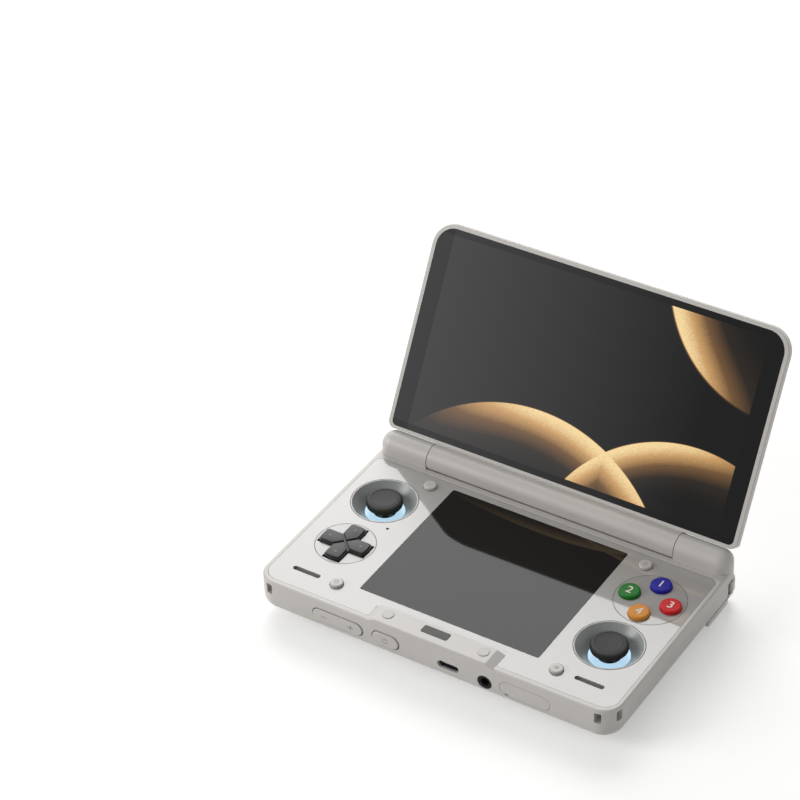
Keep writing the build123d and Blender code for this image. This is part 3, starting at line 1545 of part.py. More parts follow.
def cut_barrel_bore():
    """The barrel's bore between its end walls, and the shafts' holes through those walls."""
    inner = barrel_half - barrel_end_wall
    with BuildSketch(Plane(origin=(-inner, hinge_y, hinge_z), z_dir=(1, 0, 0))) as outline:
        Circle(barrel_radius - barrel_wall)
    extrude(outline.sketch, amount=2 * inner, mode=Mode.SUBTRACT)
    with BuildSketch(Plane(origin=(-barrel_half, hinge_y, hinge_z), z_dir=(1, 0, 0))) as outline:
        Circle(shaft_radius + seam_gap / 4)
    extrude(outline.sketch, amount=2 * barrel_half, mode=Mode.SUBTRACT)


def make_lid_back_cover():
    """The lid's back: a shallow tray with soft outer edges, notched for the leaves and the ribbon."""
    inset = lid_tray_inset
    notch = 2 * lid_wall + lid_tray_corner
    with BuildPart() as cover:
        with BuildSketch(lid_layer(lid_back)):
            lid_plan(0, lid_top_corner, 0)
        extrude(amount=lid_split - lid_back)
        face = cover.faces().sort_by(lid_facing)[0]
        fillet(face.edges().sort_by(Axis.Z)[1:], radius=lid_back_round)
        with BuildSketch(lid_layer(lid_back)):
            lid_plan(0, lid_top_corner, lid_bottom_corner)
        extrude(amount=lid_split - lid_back, mode=Mode.INTERSECT)
        with BuildSketch(lid_layer(lid_back_floor)):
            lid_plan(inset, lid_top_corner - inset, lid_tray_corner, bottom=lid_bottom + lid_wall)
        extrude(amount=lid_split - lid_back_floor, mode=Mode.SUBTRACT)
        for side in sides.values():
            with BuildSketch(lid_layer(lid_split)):
                with Locations((side * (shaft_from + leaf_width / 2), lid_bottom)):
                    Rectangle(leaf_width + 2 * swing_gap, notch)
            extrude(amount=lid_back_floor - lid_split, mode=Mode.SUBTRACT)
        with BuildSketch(lid_layer(lid_split)):
            with Locations((0, lid_bottom)):
                Rectangle(flex_width + 2 * swing_gap, notch)
        extrude(amount=panel_floor - flex_thickness - seam_gap - lid_split, mode=Mode.SUBTRACT)
    save("lid_back_cover", cover.part)


def make_hinge_cover():
    """The back of the barrel: one long cover, and a short cap at each end of it."""
    seam = barrel_half - cap_length
    with BuildPart() as cover:
        with BuildSketch(lid_section(-seam + seam_gap / 2)):
            barrel_half_outline(front=False)
        extrude(amount=2 * seam - seam_gap)
        cut_barrel_bore()
        cut_cover_inside(seam)
    save("hinge_cover", cover.part)
    with BuildPart() as caps:
        for side in sides.values():
            with BuildSketch(lid_section(side * (seam + seam_gap / 2))):
                barrel_half_outline(front=False)
            extrude(amount=side * (cap_length - seam_gap / 2))
        cut_barrel_bore()
        cut_cover_inside(barrel_half - barrel_end_wall)
    save("barrel_caps", caps.part)


def cut_cover_inside(reach):
    """The room between the barrel's bore and the lid's tray, where the shafts' leaves pass."""
    with BuildSketch(lid_section(-reach)) as outline:
        with Locations((0, lid_back_floor)):
            Rectangle(lid_bottom + cut_over, barrel_radius, align=(Align.MIN, Align.MIN))
    extrude(outline.sketch, amount=2 * reach, mode=Mode.SUBTRACT)


def make_top_screen():
    """The upper glass, the display behind it, and the ribbon that winds down into the barrel."""
    with BuildPart() as glass:
        with BuildSketch(lid_layer(glass_floor)):
            lid_glass_plan(0)
        extrude(amount=top_glass_thickness)
    save("top_screen_glass", glass.part)
    with BuildPart() as panel:
        with BuildSketch(lid_layer(glass_floor)):
            with Locations((0, lid_middle)):
                Rectangle(*top_display_size)
        extrude(amount=-top_display_thickness)
    save("top_display", panel.part)
    outer = barrel_radius - barrel_wall - seam_gap
    panel_bottom = lid_middle - top_display_size[1] / 2
    with BuildPart() as flex:
        with BuildSketch(lid_section(-flex_width / 2)):
            Circle(outer)
            Circle(outer - flex_thickness, mode=Mode.SUBTRACT)
            with Locations((0, panel_floor)):
                Rectangle(2 * outer, 2 * outer, align=(Align.MIN, Align.MIN), mode=Mode.SUBTRACT)
            start = sqrt((outer - flex_thickness) ** 2 - panel_floor**2)
            with Locations((start, panel_floor)):
                Rectangle(panel_bottom + flex_overlap - start, flex_thickness,
                          align=(Align.MIN, Align.MAX))
        extrude(amount=flex_width)
    save("display_flex", flex.part)


def main():
    os.makedirs("parts", exist_ok=True)
    form = outer_form()
    make_upper_case(form)
    make_lower_case(form)
    make_faceplate()
    make_lower_screen()
    make_discs()
    make_front_trim()
    for name, place in sticks.items():
        make_stick_well(name, place)
        make_stick(name, place)
    make_light_rings()
    make_stick_housings()
    make_dpad()
    make_buttons()
    make_domes_and_boards()
    make_main_board()
    make_switches()
    make_rocker()
    make_power_button()
    make_ports()
    make_card_flap()
    make_bumpers()
    make_triggers()
    make_pivot_pins()
    make_power_train()
    make_speakers()
    make_screws_and_feet()
    make_hinges()
    make_lid_front_frame()
    make_lid_back_cover()
    make_hinge_cover()
    make_top_screen()


main()
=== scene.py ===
"""Looks of a clamshell handheld game console, laid out as an add-on.

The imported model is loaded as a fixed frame. The operators below give its nodes their finishes and add the
pieces that carry the finer detail: stick tops, four-way pad, key numbers and marks, speaker meshes, screws.
"""

from math import cos, pi, radians, sin

import bmesh
import bpy
from bpy.props import FloatProperty, FloatVectorProperty, IntProperty, PointerProperty
from mathutils import Matrix, Vector


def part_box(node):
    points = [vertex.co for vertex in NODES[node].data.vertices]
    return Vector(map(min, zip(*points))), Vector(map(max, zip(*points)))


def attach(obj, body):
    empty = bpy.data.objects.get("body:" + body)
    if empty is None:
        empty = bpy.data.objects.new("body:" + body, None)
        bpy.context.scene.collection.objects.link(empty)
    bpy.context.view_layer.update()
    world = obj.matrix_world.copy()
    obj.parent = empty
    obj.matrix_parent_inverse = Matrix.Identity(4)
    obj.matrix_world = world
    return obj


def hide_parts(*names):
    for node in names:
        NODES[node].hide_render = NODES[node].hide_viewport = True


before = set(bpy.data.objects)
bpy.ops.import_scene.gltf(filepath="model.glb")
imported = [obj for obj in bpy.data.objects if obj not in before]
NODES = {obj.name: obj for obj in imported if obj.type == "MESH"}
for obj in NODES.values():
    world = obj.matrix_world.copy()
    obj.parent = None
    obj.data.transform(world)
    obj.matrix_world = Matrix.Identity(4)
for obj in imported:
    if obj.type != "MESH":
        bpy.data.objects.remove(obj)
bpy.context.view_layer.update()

bl_info = {
    "name": "Clamshell Console Looks",
    "version": (1, 0, 0),
    "blender": (4, 5, 0),
    "location": "View3D > Sidebar > Console",
    "description": "Finishes and fine detail of a clamshell handheld game console",
    "category": "Object",
}

MM = 0.001
NEAR = MM / 100  # two places nearer than this lie in one plane
WELD = 1e-6  # corners nearer than this, in metres, become one
CAPITAL_SHARE = 0.72  # of a letter's height in the built-in typeface's size
NUMBER_WEIGHT = 0.004  # of a number's height, added to its strokes
LID_LEAN = 30  # degrees that the open lid leans back from upright

CLOUD_SIZE = 28  # mm, the faint clouds in moulded colours
GRAIN_DEPTH = 0.3  # a grain's height as a share of its size
WAVE_TURN = 20  # radians that a wave texture turns through in one unit
NOISE_SPAN = {"From Min": 0.3, "From Max": 0.7}  # holds nearly all of a noise's values
MULTIPLIED = {"data_type": "RGBA", "blend_type": "MULTIPLY"}

PICTURE_HALF = (66.4, 37.35)  # half the lit area's width and height, in mm
# each arc: middle, radius, inward fade and soft outer edge in metres, and its light's direction in degrees
PICTURE_ARCS = (((-0.014, -0.086), 0.070, 0.026, 0.0006, 72), ((0.052, -0.068), 0.058, 0.022, 0.0006, 118),
                ((0.074, 0.060), 0.052, 0.034, 0.0014, 205))
PRINT_REFLECTION_SHARE = 0.72  # of the dark ground's glow, painted over the black print as reflection

# stick top, in mm: the neck's and the dish's radii, how far the side and the groove lie inside the rim and
# inside the lip, the groove widths to add, and each one's drop below the crest
STICK_NECK = ((1.2, 5.5), (2.5, 5.5), (2.9, 5.1), (3.2, 4.6), (4.2, 4.05), (5.3, 3.55))
STICK_SIDE = ((0.55, 3.1), (0.1, 2.7), (0, 2.3), (0, 1.8), (0, 1.3), (0.12, 0.85), (0.45, 0.4), (0.9, 0.1),
              (1.25, 0), (1.55, 0))
STICK_GROOVE = ((0.1, 0, 0.16), (0.1, 1, 0.2), (0.3, 1, 0.08))
STICK_DISH = ((3.4, 0.26), (1.8, 0.36), (0.5, 0.38))
KNURL_BAND = (0.5, 2.8)  # drops between which the side is knurled, in mm
KNURL_INSIDE = 0.5  # mm inside the rim; faces further in aren't knurled
KNURL_BORDER = 0.06  # mm left round each knurl

PAD_DEPTH = 3.6  # mm from the pad's top to the foot of its arms
PAD_CORNER = 0.8  # mm, rounding of an arm's outer corners
PAD_EDGE = 0.22  # mm, rounding round the top of an arm
POINTER_RADIUS = 0.85  # mm
POINTER_PLACE = 0.97  # of an arm's width, from the pad's middle

# well lip, in mm: distance inside the well's radius, and height above the deck
WELL_LIP = ((0.02, -0.3), (0.02, -0.02), (0.12, 0.06), (0.35, 0.06), (0.6, -0.1), (0.8, -0.45), (0.8, -0.9))
# ring of painted gap shade: place across it in half widths, and height above the deck in mm
GAP_SHADE = ((1, -0.2), (1, 0), (0.5, 0.02), (-0.5, 0.02), (-1, 0), (-1, -0.2))
WELL_GAP_SHADE = 0.14  # mm from the well's radius to the middle of its ring of painted gap shade
DISC_GAP_SHADE = 0.1  # mm from a disc's edge to the middle of its ring of painted gap shade
RING_SEGMENTS = 128
MESH_SIZE = ((11.7, 2.0), 0.15, 0.98)  # a speaker mesh's sides, thickness and corner radius, in mm
MESH_PLACE = (59.4, -34.7, -1.15)  # the right mesh's x and y, and its height above the deck, in mm

SCREW_TIP = 0.3  # mm of taper at a screw's end
SCREW_SHARES = (0.42, 0.5)  # of the head's radius, at the tip and along the shank
SCREW_HEAD = (1.4, 0.9, 0.12)  # mm from the face to the cone's two ends and to the rounded edge
CROSS_REACH = 0.62  # of the head's radius
CROSS_DEPTH = 0.45  # mm

FLOOR_SIZE = 8  # metres
FLOOR_GAP = MM / 50  # below the feet, so that no two faces share a plane
# the paper's own white by the distance from the middle in metres
FLOOR_WHITE = {"From Min": 0.5, "From Max": 2.2, "To Min": 0.35, "To Max": 0.74}
KEY_LAMP = ((-1.15, -0.95, 0.72), 0.8)  # place and size in metres
BACK_LAMP = ((-0.60, 0.90, 0.86), 1.1)
# the camera fitted to the photograph: its place, and the directions of its picture's right and down
CAMERA_PLACE = (0.44625005, -0.71977508, 0.74360743)
CAMERA_RIGHT = (0.844389, 0.534470, -0.036738)
CAMERA_DOWN = (0.299866, -0.528346, -0.794312)
SENSOR = 36  # mm


def linear(code):
    """The linear RGBA of an sRGB colour written as a hex code."""
    shares = [int(code[i:i + 2], 16) / 255 for i in (1, 3, 5)]
    return tuple(s / 12.92 if s <= 0.04045 else ((s + 0.055) / 1.055) ** 2.4 for s in shares) + (1.0,)


def colour_property(label, about, code):
    """A colour setting whose default is this sRGB hex code."""
    return FloatVectorProperty(name=label, description=about, subtype="COLOR", size=4, min=0, max=1,
                               default=linear(code))


def length_property(label, about, millimetres):
    """A length setting whose default is given in millimetres."""
    return FloatProperty(name=label, description=about, unit="LENGTH", subtype="DISTANCE", min=0,
                         default=millimetres * MM)


class ConsoleColours(bpy.types.PropertyGroup):
    """Colours of the finishes."""
    shell: colour_property("Shell", "Moulded cases and lid", "#C9C5C0")
    shoulder: colour_property("Shoulders", "Bumpers and triggers", "#C5C2BC")
    faceplate: colour_property("Faceplate", "Lacquered deck plate", "#9A9793")
    # darker than the faceplate's grey: painted shade from the pad and the keys over the discs
    disc: colour_property("Discs", "Lacquered discs under the pad and the face buttons", "#908D89")
    # darker than the shell's grey and tinged green: painted shade of the recess and painted light from the
    # rings
    well: colour_property("Stick wells", "Cones round the sticks, darkened and tinged green as painted shade and ring light", "#8F9290")
    dark_key: colour_property("Stick tops", "Rubber of the stick tops", "#3B3B3C")
    pad: colour_property("Four-way pad", "Plastic of the four-way pad", "#363636")
    pad_mark: colour_property("Pad pointers", "Triangles on the pad's arms", "#5C5D5C")
    lip: colour_property("Well lips", "Rims of the stick wells", "#C6C6C1")
    left_key: colour_property("Left key", "Green face button", "#0E7420")
    back_key: colour_property("Back key", "Blue face button", "#15159A")
    right_key: colour_property("Right key", "Red face button", "#D0181F")
    front_key: colour_property("Front key", "Orange face button", "#DB9036")
    key_mark: colour_property("Key numbers", "Pale numbers printed on the face buttons", "#F0E8DA")
    small_key: colour_property("Small keys", "Small round buttons", "#BDB9B4")
    faint_mark: colour_property("Faint marks", "Marks moulded into pale plastic", "#9A9691")
    ring: colour_property("Light rings", "Glow on the floors of the wells", "#B9DDF2")
    badge: colour_property("Badge", "Dark anodised plate", "#3F3F3D")
    # dark rings that stand for the shade in the thin gaps round the wells and discs: painted shade
    gap_shade: colour_property("Gap shade", "Dark rings painted as the shade in the gaps round wells and discs", "#6A6863")
    picture_dark: colour_property("Picture ground", "Dark ground of the upper picture", "#2A2A2B")
    picture_gold: colour_property("Picture gold", "Bright edge of the picture's arcs", "#F6D9A0")


class ConsoleSizes(bpy.types.PropertyGroup):
    """Sizes of the fine detail."""
    knurl_count: IntProperty(name="Knurls", description="Raised grains round a stick top", default=72,
                             min=24)
    knurl_height: length_property("Knurl height", "How far a grain stands out", 0.18)
    rim_groove: length_property("Rim groove", "Width of the groove inside a stick top's rim", 0.35)
    pad_arm: length_property("Pad arm", "Width of each arm of the four-way pad", 7.0)
    pad_skirt: length_property("Pad skirt", "How far the pad reaches out under the deck", 0.7)
    pad_step: length_property("Pad step", "Width of the ledge round the top of each arm", 0.45)
    pad_crown: length_property("Pad crown", "Height of each arm above the ledge", 0.75)
    well_radius: length_property("Well radius", "Radius of a stick well at the deck", 12.8)
    number_height: length_property("Number height", "Height of the key numbers", 3.6)
    print_thickness: length_property("Print thickness", "Thickness of printed and moulded marks", 0.03)
    mesh_pitch: length_property("Mesh pitch", "Spacing of the speaker meshes' threads", 0.5)
    gap_shade_width: length_property("Gap shade width", "Width of the dark rings of painted gap shade round wells and discs", 0.26)
    screw_slot: length_property("Screw slot", "Width of the cross in a screw's head", 0.55)


class ConsoleStage(bpy.types.PropertyGroup):
    """The photograph's viewing angle and the studio."""
    lens: FloatProperty(name="Lens", description="Focal length on a 36 mm wide sensor, in mm",
                        default=137.10144, min=1)
    sky: FloatProperty(name="Sky", description="Strength of the even light from all round", default=0.33,
                       min=0)
    key: FloatProperty(name="Key lamp", description="Power of the lamp at the front left", unit="POWER",
                       default=12.0, min=0)
    back: FloatProperty(name="Back lamp", description="Power of the lamp that the deck mirrors",
                        unit="POWER", default=13.5, min=0)


def settings():
    """The scene's settings for this console."""
    scene = bpy.context.scene
    return scene.console_colours, scene.console_sizes, scene.console_stage


# Node trees

def fill_inputs(tree, node, inputs):
    """Give a node's inputs a value each, or a link from an output; a node stands for its result."""
    for name, value in inputs.items():
        if isinstance(value, bpy.types.Node):
            value = value.outputs["Result" if "Result" in value.outputs else 0]
        if isinstance(value, bpy.types.NodeSocket):
            tree.links.new(value, node.inputs[name])
        else:
            node.inputs[name].default_value = value


def add_node(tree, kind, inputs=None, stops=(), **properties):
    """Add a node with these properties and inputs and, on a colour ramp, these stops."""
    node = tree.nodes.new(kind)
    for name, value in properties.items():
        setattr(node, name, value)
    fill_inputs(tree, node, inputs or {})
    if stops:
        elements = node.color_ramp.elements
        elements[0].position, elements[0].color = stops[0]
        elements[1].position, elements[1].color = stops[-1]
        for position, colour in stops[1:-1]:
            elements.new(position).color = colour
    return node


def set_shader(tree, shader, **values):
    """Set or link the shader's own sockets, where coat_ior stands for Coat IOR."""
    fill_inputs(tree, shader, {word.replace("_", " ").title().replace("Ior", "IOR"): value
                               for word, value in values.items()})


def new_material(name, **values):
    """A material with these constants on its shader, its tree, the shader, and Object coordinates."""
    material = bpy.data.materials.new(name)
    material.use_nodes = True
    tree = material.node_tree
    tree.nodes.clear()
    shader = add_node(tree, "ShaderNodeBsdfPrincipled")
    add_node(tree, "ShaderNodeOutputMaterial", {"Surface": shader})
    set_shader(tree, shader, **values)
    return material, tree, shader, add_node(tree, "ShaderNodeTexCoord").outputs["Object"]


def seen_directly(tree):
    """1 for a ray from the camera, off a mirror or through glass, otherwise 0."""
    path = add_node(tree, "ShaderNodeLightPath").outputs
    seen = path["Is Camera Ray"]
    for ray in ("Is Glossy Ray", "Is Transmission Ray"):
        seen = add_node(tree, "ShaderNodeMath", {0: seen, 1: path[ray]}, operation="MAXIMUM")
    return seen


def grained(name, colour, grain_mm, relief, roughness, spread, **values):
    """A material with fine bumps of this size, a faint cloud in its colour, and uneven roughness."""
    material, tree, shader, place = new_material(name, **values)
    grain = add_node(tree, "ShaderNodeTexNoise", {"Vector": place, "Scale": 1 / (grain_mm * MM),
                                                  "Detail": 2.0, "Roughness": 0.55})
    cloud = add_node(tree, "ShaderNodeTexNoise", {"Vector": place, "Scale": 1 / (CLOUD_SIZE * MM),
                                                  "Detail": 3.0})
    tint = add_node(tree, "ShaderNodeMapRange", {"Value": cloud, **NOISE_SPAN, "To Min": 0.975,
                                                 "To Max": 1.02})
    shade = add_node(tree, "ShaderNodeMix", {"Factor": 1.0, "A": tuple(colour), "B": tint}, **MULTIPLIED)
    gloss = add_node(tree, "ShaderNodeMapRange", {"Value": grain, **NOISE_SPAN,
                                                  "To Min": roughness - spread,
                                                  "To Max": roughness + spread})
    bump = add_node(tree, "ShaderNodeBump", {"Strength": relief, "Distance": grain_mm * MM * GRAIN_DEPTH,
                                             "Height": grain})
    set_shader(tree, shader, base_color=shade, roughness=gloss, normal=bump)
    return material


def spark_eroded_abs(name, colour, roughness=0.36):
    """Moulded ABS: matt, with a fine sandy grain that breaks up highlights on the rounded edges."""
    # the real grain is about 0.05 mm; it is drawn at 0.22 mm so that it shows
    return grained(name, colour, 0.22, 0.16, roughness, 0.05, ior=1.54)


def polished_abs(name, colour, roughness=0.28, specular=0.5):
    """Moulded ABS from a polished tool: smooth and even, with a soft wide highlight."""
    return grained(name, colour, 0.35, 0.05, roughness, 0.03, ior=1.54, specular_ior_level=specular)


def lacquered_polycarbonate(name, colour):
    """Painted polycarbonate under clear lacquer: fine pearl specks below a coat that mirrors sharply."""
    return grained(name, colour, 0.18, 0.02, 0.42, 0.04, ior=1.58, coat_weight=1.0, coat_roughness=0.03,
                   coat_ior=1.6)


def moulded_rubber(name, colour, roughness=0.7):
    """Moulded rubber: dull, almost without highlights, with a dry bloom in patches."""
    return grained(name, colour, 0.3, 0.12, roughness, 0.06, ior=1.5, specular_ior_level=0.3)


def clear_silicone(name, colour):
    """Clear silicone on a pale case: the case's grey, milky, with a soft wet highlight."""
    return grained(name, colour, 0.5, 0.03, 0.35, 0.04, ior=1.41, coat_weight=0.3, coat_roughness=0.2)


def printed_ink(name, colour):
    """Pad-printed ink: flat colour with faint pinholes."""
    return grained(name, colour, 0.15, 0.04, 0.5, 0.05)


def dark_glass(name, colour):
    """Cover glass over a display that is off: near black, with a sharp mirror on top."""
    return grained(name, colour, 0.2, 0.004, 0.03, 0.01, ior=1.45, specular_ior_level=0.27)


def brushed_metal(name, colour, roughness=0.32):
    """Brushed metal: long hairlines that stretch the highlight across them."""
    material, tree, shader, place = new_material(name, metallic=1.0)
    drawn = add_node(tree, "ShaderNodeMapping", {"Vector": place, "Scale": (1.0, 30.0, 30.0)})
    # hairlines are about 0.03 mm apart; they are drawn at 0.12 mm so that they show
    lines = add_node(tree, "ShaderNodeTexNoise", {"Vector": drawn, "Scale": 1 / (3.6 * MM), "Detail": 2.0})
    bright = Vector(colour[:3])
    shade = add_node(tree, "ShaderNodeValToRGB", {"Fac": lines},
                     stops=((0.3, (*(bright * 0.82), 1)), (0.7, (*bright, 1))))
    gloss = add_node(tree, "ShaderNodeMapRange", {"Value": lines, "To Min": roughness - 0.08,
                                                  "To Max": roughness + 0.08})
    bump = add_node(tree, "ShaderNodeBump", {"Strength": 0.08, "Distance": 0.02 * MM, "Height": lines})
    set_shader(tree, shader, base_color=shade, roughness=gloss, normal=bump)
    return material


def solder_masked_board(name):
    """Fibreglass board under green solder mask: glossy lacquer with a faint woven grid."""
    material, tree, shader, place = new_material(name, coat_weight=0.6, coat_roughness=0.15, roughness=0.45)
    weave = add_node(tree, "ShaderNodeTexBrick", {"Vector": place, "Scale": 1 / (2.4 * MM),
                                                  "Color1": linear("#0F4A2B"), "Color2": linear("#11532F"),
                                                  "Mortar": linear("#1B6A3D"), "Mortar Size": 0.04})
    set_shader(tree, shader, base_color=weave)
    return material


def glowing_diffuser(name, colour):
    """Opal acrylic lit from behind: an even glow with faint patches."""
    material, tree, shader, place = new_material(name, base_color=(0.02, 0.02, 0.02, 1), roughness=0.35,
                                                 emission_strength=0.95)
    patch = add_node(tree, "ShaderNodeTexNoise", {"Vector": place, "Scale": 1 / (6 * MM), "Detail": 1.0})
    level = add_node(tree, "ShaderNodeMapRange", {"Value": patch, "To Min": 0.94, "To Max": 1.04})
    glow = add_node(tree, "ShaderNodeMix", {"Factor": 1.0, "A": tuple(colour), "B": level}, **MULTIPLIED)
    set_shader(tree, shader, emission_color=glow)
    return material


def woven_mesh(name, pitch):
    """Woven polyester mesh: fine threads over and under each other, with dark holes between them."""
    material, tree, shader, place = new_material(name, roughness=0.7)
    turns = 2 * pi / pitch / WAVE_TURN
    rows, lines = [add_node(tree, "ShaderNodeTexWave", {"Vector": place, "Scale": turns},
                            bands_direction=axis).outputs["Fac"] for axis in "XY"]
    thread = add_node(tree, "ShaderNodeMath", {0: rows, 1: lines}, operation="MAXIMUM")
    shade = add_node(tree, "ShaderNodeValToRGB", {"Fac": thread},
                     stops=((0.35, linear("#2C2B29")), (0.8, linear("#8D8A85"))))
    bump = add_node(tree, "ShaderNodeBump", {"Strength": 0.6, "Distance": 0.05 * MM, "Height": thread})
    set_shader(tree, shader, base_color=shade, normal=bump)
    return material


def soft_arc(tree, place, centre, radius, fade, edge, towards):
    """Light along one arc of the picture: bright at its rim, fading inwards and away from one direction."""
    offset = add_node(tree, "ShaderNodeVectorMath", {0: place, 1: (*centre, 0)}, operation="SUBTRACT")
    reach = add_node(tree, "ShaderNodeVectorMath", {0: offset}, operation="LENGTH")
    aim = Vector((cos(radians(towards)), sin(radians(towards)), 0)) / radius
    along = add_node(tree, "ShaderNodeVectorMath", {0: offset, 1: aim}, operation="DOT_PRODUCT")
    light = 1.0
    for node, first, last, start, end in ((reach, radius - fade, radius, 0, 1),
                                          (reach, radius, radius + edge, 1, 0), (along, 0.25, 0.98, 0, 1)):
        share = add_node(tree, "ShaderNodeMapRange", {"Value": node.outputs["Value"], "From Min": first,
                                                      "From Max": last, "To Min": start, "To Max": end},
                         interpolation_type="SMOOTHSTEP")
        light = add_node(tree, "ShaderNodeMath", {0: light, 1: share}, operation="MULTIPLY")
    return light


def lit_display(name, ground, gold):
    """Cover glass over a lit display: black print round a picture of soft gold arcs on dark grey, with a
    painted reflection that brightens the glass towards the left.
    """
    material, tree, shader, place = new_material(name, ior=1.45, specular_ior_level=0.2, roughness=0.03,
                                                 base_color=linear("#080808"), emission_strength=1.0)
    # the picture is laid in the lid's own plane: x across, y up the lid, from the middle of the glass
    low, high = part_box("top_screen_glass")
    flat = add_node(tree, "ShaderNodeMapping", {"Vector": place, "Location": (low + high) / 2,
                                                "Rotation": (radians(90 - LID_LEAN), 0, 0)},
                    vector_type="TEXTURE")
    split = add_node(tree, "ShaderNodeSeparateXYZ", {"Vector": flat}).outputs
    plane = add_node(tree, "ShaderNodeCombineXYZ", {"X": split["X"], "Y": split["Y"]})
    glow = 0.0
    for arc in PICTURE_ARCS:
        light = soft_arc(tree, plane, *arc)
        glow = add_node(tree, "ShaderNodeMath", {0: glow, 1: light}, operation="MAXIMUM")
    # the display's own fine pixels, drawn at 0.4 mm so that they show as a faint shimmer
    pixels = add_node(tree, "ShaderNodeTexNoise", {"Vector": place, "Scale": 1 / (0.4 * MM), "Detail": 1.0})
    shimmer = add_node(tree, "ShaderNodeMapRange", {"Value": pixels, **NOISE_SPAN, "To Min": 0.95,
                                                    "To Max": 1.03})
    grainy = add_node(tree, "ShaderNodeMath", {0: glow, 1: shimmer}, operation="MULTIPLY")
    arcs = add_node(tree, "ShaderNodeValToRGB", {"Fac": grainy},
                    stops=((0.0, (0, 0, 0, 1)), (0.3, linear("#241B12")), (0.6, linear("#6E4F2F")),
                           (0.85, linear("#C79A62")), (1.0, tuple(gold))))
    # brighter towards the left: partly the picture's own gradient, partly a painted reflection of a pale
    # wall, which also lies over the black print
    painted_reflection = add_node(tree, "ShaderNodeMapRange", {"Value": split["X"], "From Min": -0.07, "From Max": 0.05,
                                                 "To Min": 2.6, "To Max": 0.12})
    back = add_node(tree, "ShaderNodeMix", {"Factor": 1.0, "A": tuple(ground), "B": painted_reflection}, **MULTIPLIED)
    for axis, half in zip("XY", PICTURE_HALF):
        size = add_node(tree, "ShaderNodeMath", {0: split[axis]}, operation="ABSOLUTE")
        window = add_node(tree, "ShaderNodeMath", {0: size, 1: half * MM}, operation="LESS_THAN")
        arcs = add_node(tree, "ShaderNodeMix", {"Factor": 1.0, "A": arcs, "B": window}, **MULTIPLIED)
        # the black print is painted with the ground's glow, a little less than the display, as painted
        # reflection
        level = add_node(tree, "ShaderNodeMapRange", {"Value": window, "To Min": PRINT_REFLECTION_SHARE})
        back = add_node(tree, "ShaderNodeMix", {"Factor": 1.0, "A": back, "B": level}, **MULTIPLIED)
    picture = add_node(tree, "ShaderNodeMix", {"Factor": 1.0, "A": back, "B": arcs}, data_type="RGBA",
                       blend_type="ADD")
    set_shader(tree, shader, emission_color=picture)
    return material


def finish_nodes(material, names):
    """Give these nodes of the frame this one finish."""
    for name in names:
        slots = NODES[name].material_slots
        if not slots:
            NODES[name].data.materials.append(material)
        for slot in slots:
            slot.material = material


# Modelling

def clear_selection():
    """Leave nothing selected, in object mode."""
    if bpy.context.object and bpy.context.object.mode != "OBJECT":
        bpy.ops.object.mode_set(mode="OBJECT")
    bpy.ops.object.select_all(action="DESELECT")


def select_only(pieces):
    """Select these objects alone, the first of them active."""
    clear_selection()
    for piece in pieces:
        piece.select_set(True)
    bpy.context.view_layer.objects.active = pieces[0]


def open_up():
    """Enter edit mode with everything selected."""
    bpy.ops.object.mode_set(mode="EDIT")
    bpy.ops.mesh.select_all(action="SELECT")


def lift(height):
    """Extrude what is selected upwards by this much, in metres."""
    bpy.ops.mesh.extrude_region_move(TRANSFORM_OT_translate={"value": (0, 0, height)})


def pick(piece, kind, test):
    """In edit mode, select the corners or faces whose place and normal pass a test."""
    bpy.ops.object.mode_set(mode="EDIT")
    bpy.ops.mesh.select_mode(type=kind)
    bpy.ops.mesh.select_all(action="DESELECT")
    mesh = bmesh.from_edit_mesh(piece.data)
    for item in mesh.faces if kind == "FACE" else mesh.verts:
        place = item.calc_center_median() if kind == "FACE" else item.co
        item.select_set(test(piece.matrix_basis @ place, item.normal))
    mesh.select_flush_mode()
    bmesh.update_edit_mesh(piece.data)


def close_up(piece, angle=35):
    """Weld doubles, turn the faces outwards, smooth what is round, and put the place into the mesh."""
    select_only([piece])
    open_up()
    bpy.ops.mesh.remove_doubles(threshold=WELD)
    bpy.ops.mesh.normals_make_consistent(inside=False)
    bpy.ops.object.mode_set(mode="OBJECT")
    bpy.ops.object.transform_apply(location=True, rotation=True, scale=True)
    bpy.ops.object.shade_smooth_by_angle(angle=radians(angle))
    return piece


def turned(name, place, section, segments, hollow=False):
    """A turned piece: a disc, or an edge loop for a hollow ring, drawn along radii and heights."""
    clear_selection()
    radius, height = section[0]
    bpy.ops.mesh.primitive_circle_add(vertices=segments, radius=radius * MM,
                                      fill_type="NOTHING" if hollow else "NGON",
                                      location=(place[0], place[1], height * MM))
    piece = bpy.context.object
    piece.name = name
    bpy.ops.object.mode_set(mode="EDIT")
    if hollow:
        bpy.ops.mesh.select_mode(type="EDGE")
    bpy.ops.mesh.select_all(action="SELECT")
    draw_out = bpy.ops.mesh.extrude_edges_move if hollow else bpy.ops.mesh.extrude_region_move
    for next_radius, next_height in (*section[1:], section[0]) if hollow else section[1:]:
        draw_out(TRANSFORM_OT_translate={"value": (0, 0, (next_height - height) * MM)})
        bpy.ops.transform.resize(value=(next_radius / radius, next_radius / radius, 1),
                                 center_override=(place[0], place[1], next_height * MM))
        radius, height = next_radius, next_height
    bpy.ops.object.mode_set(mode="OBJECT")
    return piece


def raise_plate(name, size, thickness, corner=0.0, centre=(0, 0)):
    """A flat plate with rounded corners, lying at the origin: a plane, beveled and given thickness."""
    clear_selection()
    bpy.ops.mesh.primitive_plane_add(size=1, location=(centre[0] * MM, centre[1] * MM, 0))
    piece = bpy.context.object
    piece.name = name
    piece.scale = (size[0] * MM, size[1] * MM, 1)
    bpy.ops.object.transform_apply(location=True, rotation=False, scale=True)
    open_up()
    if corner:
        bpy.ops.mesh.bevel(offset=corner * MM, segments=6, affect="VERTICES")
    bpy.ops.mesh.select_all(action="SELECT")
    lift(thickness * MM)
    bpy.ops.object.mode_set(mode="OBJECT")
    return piece


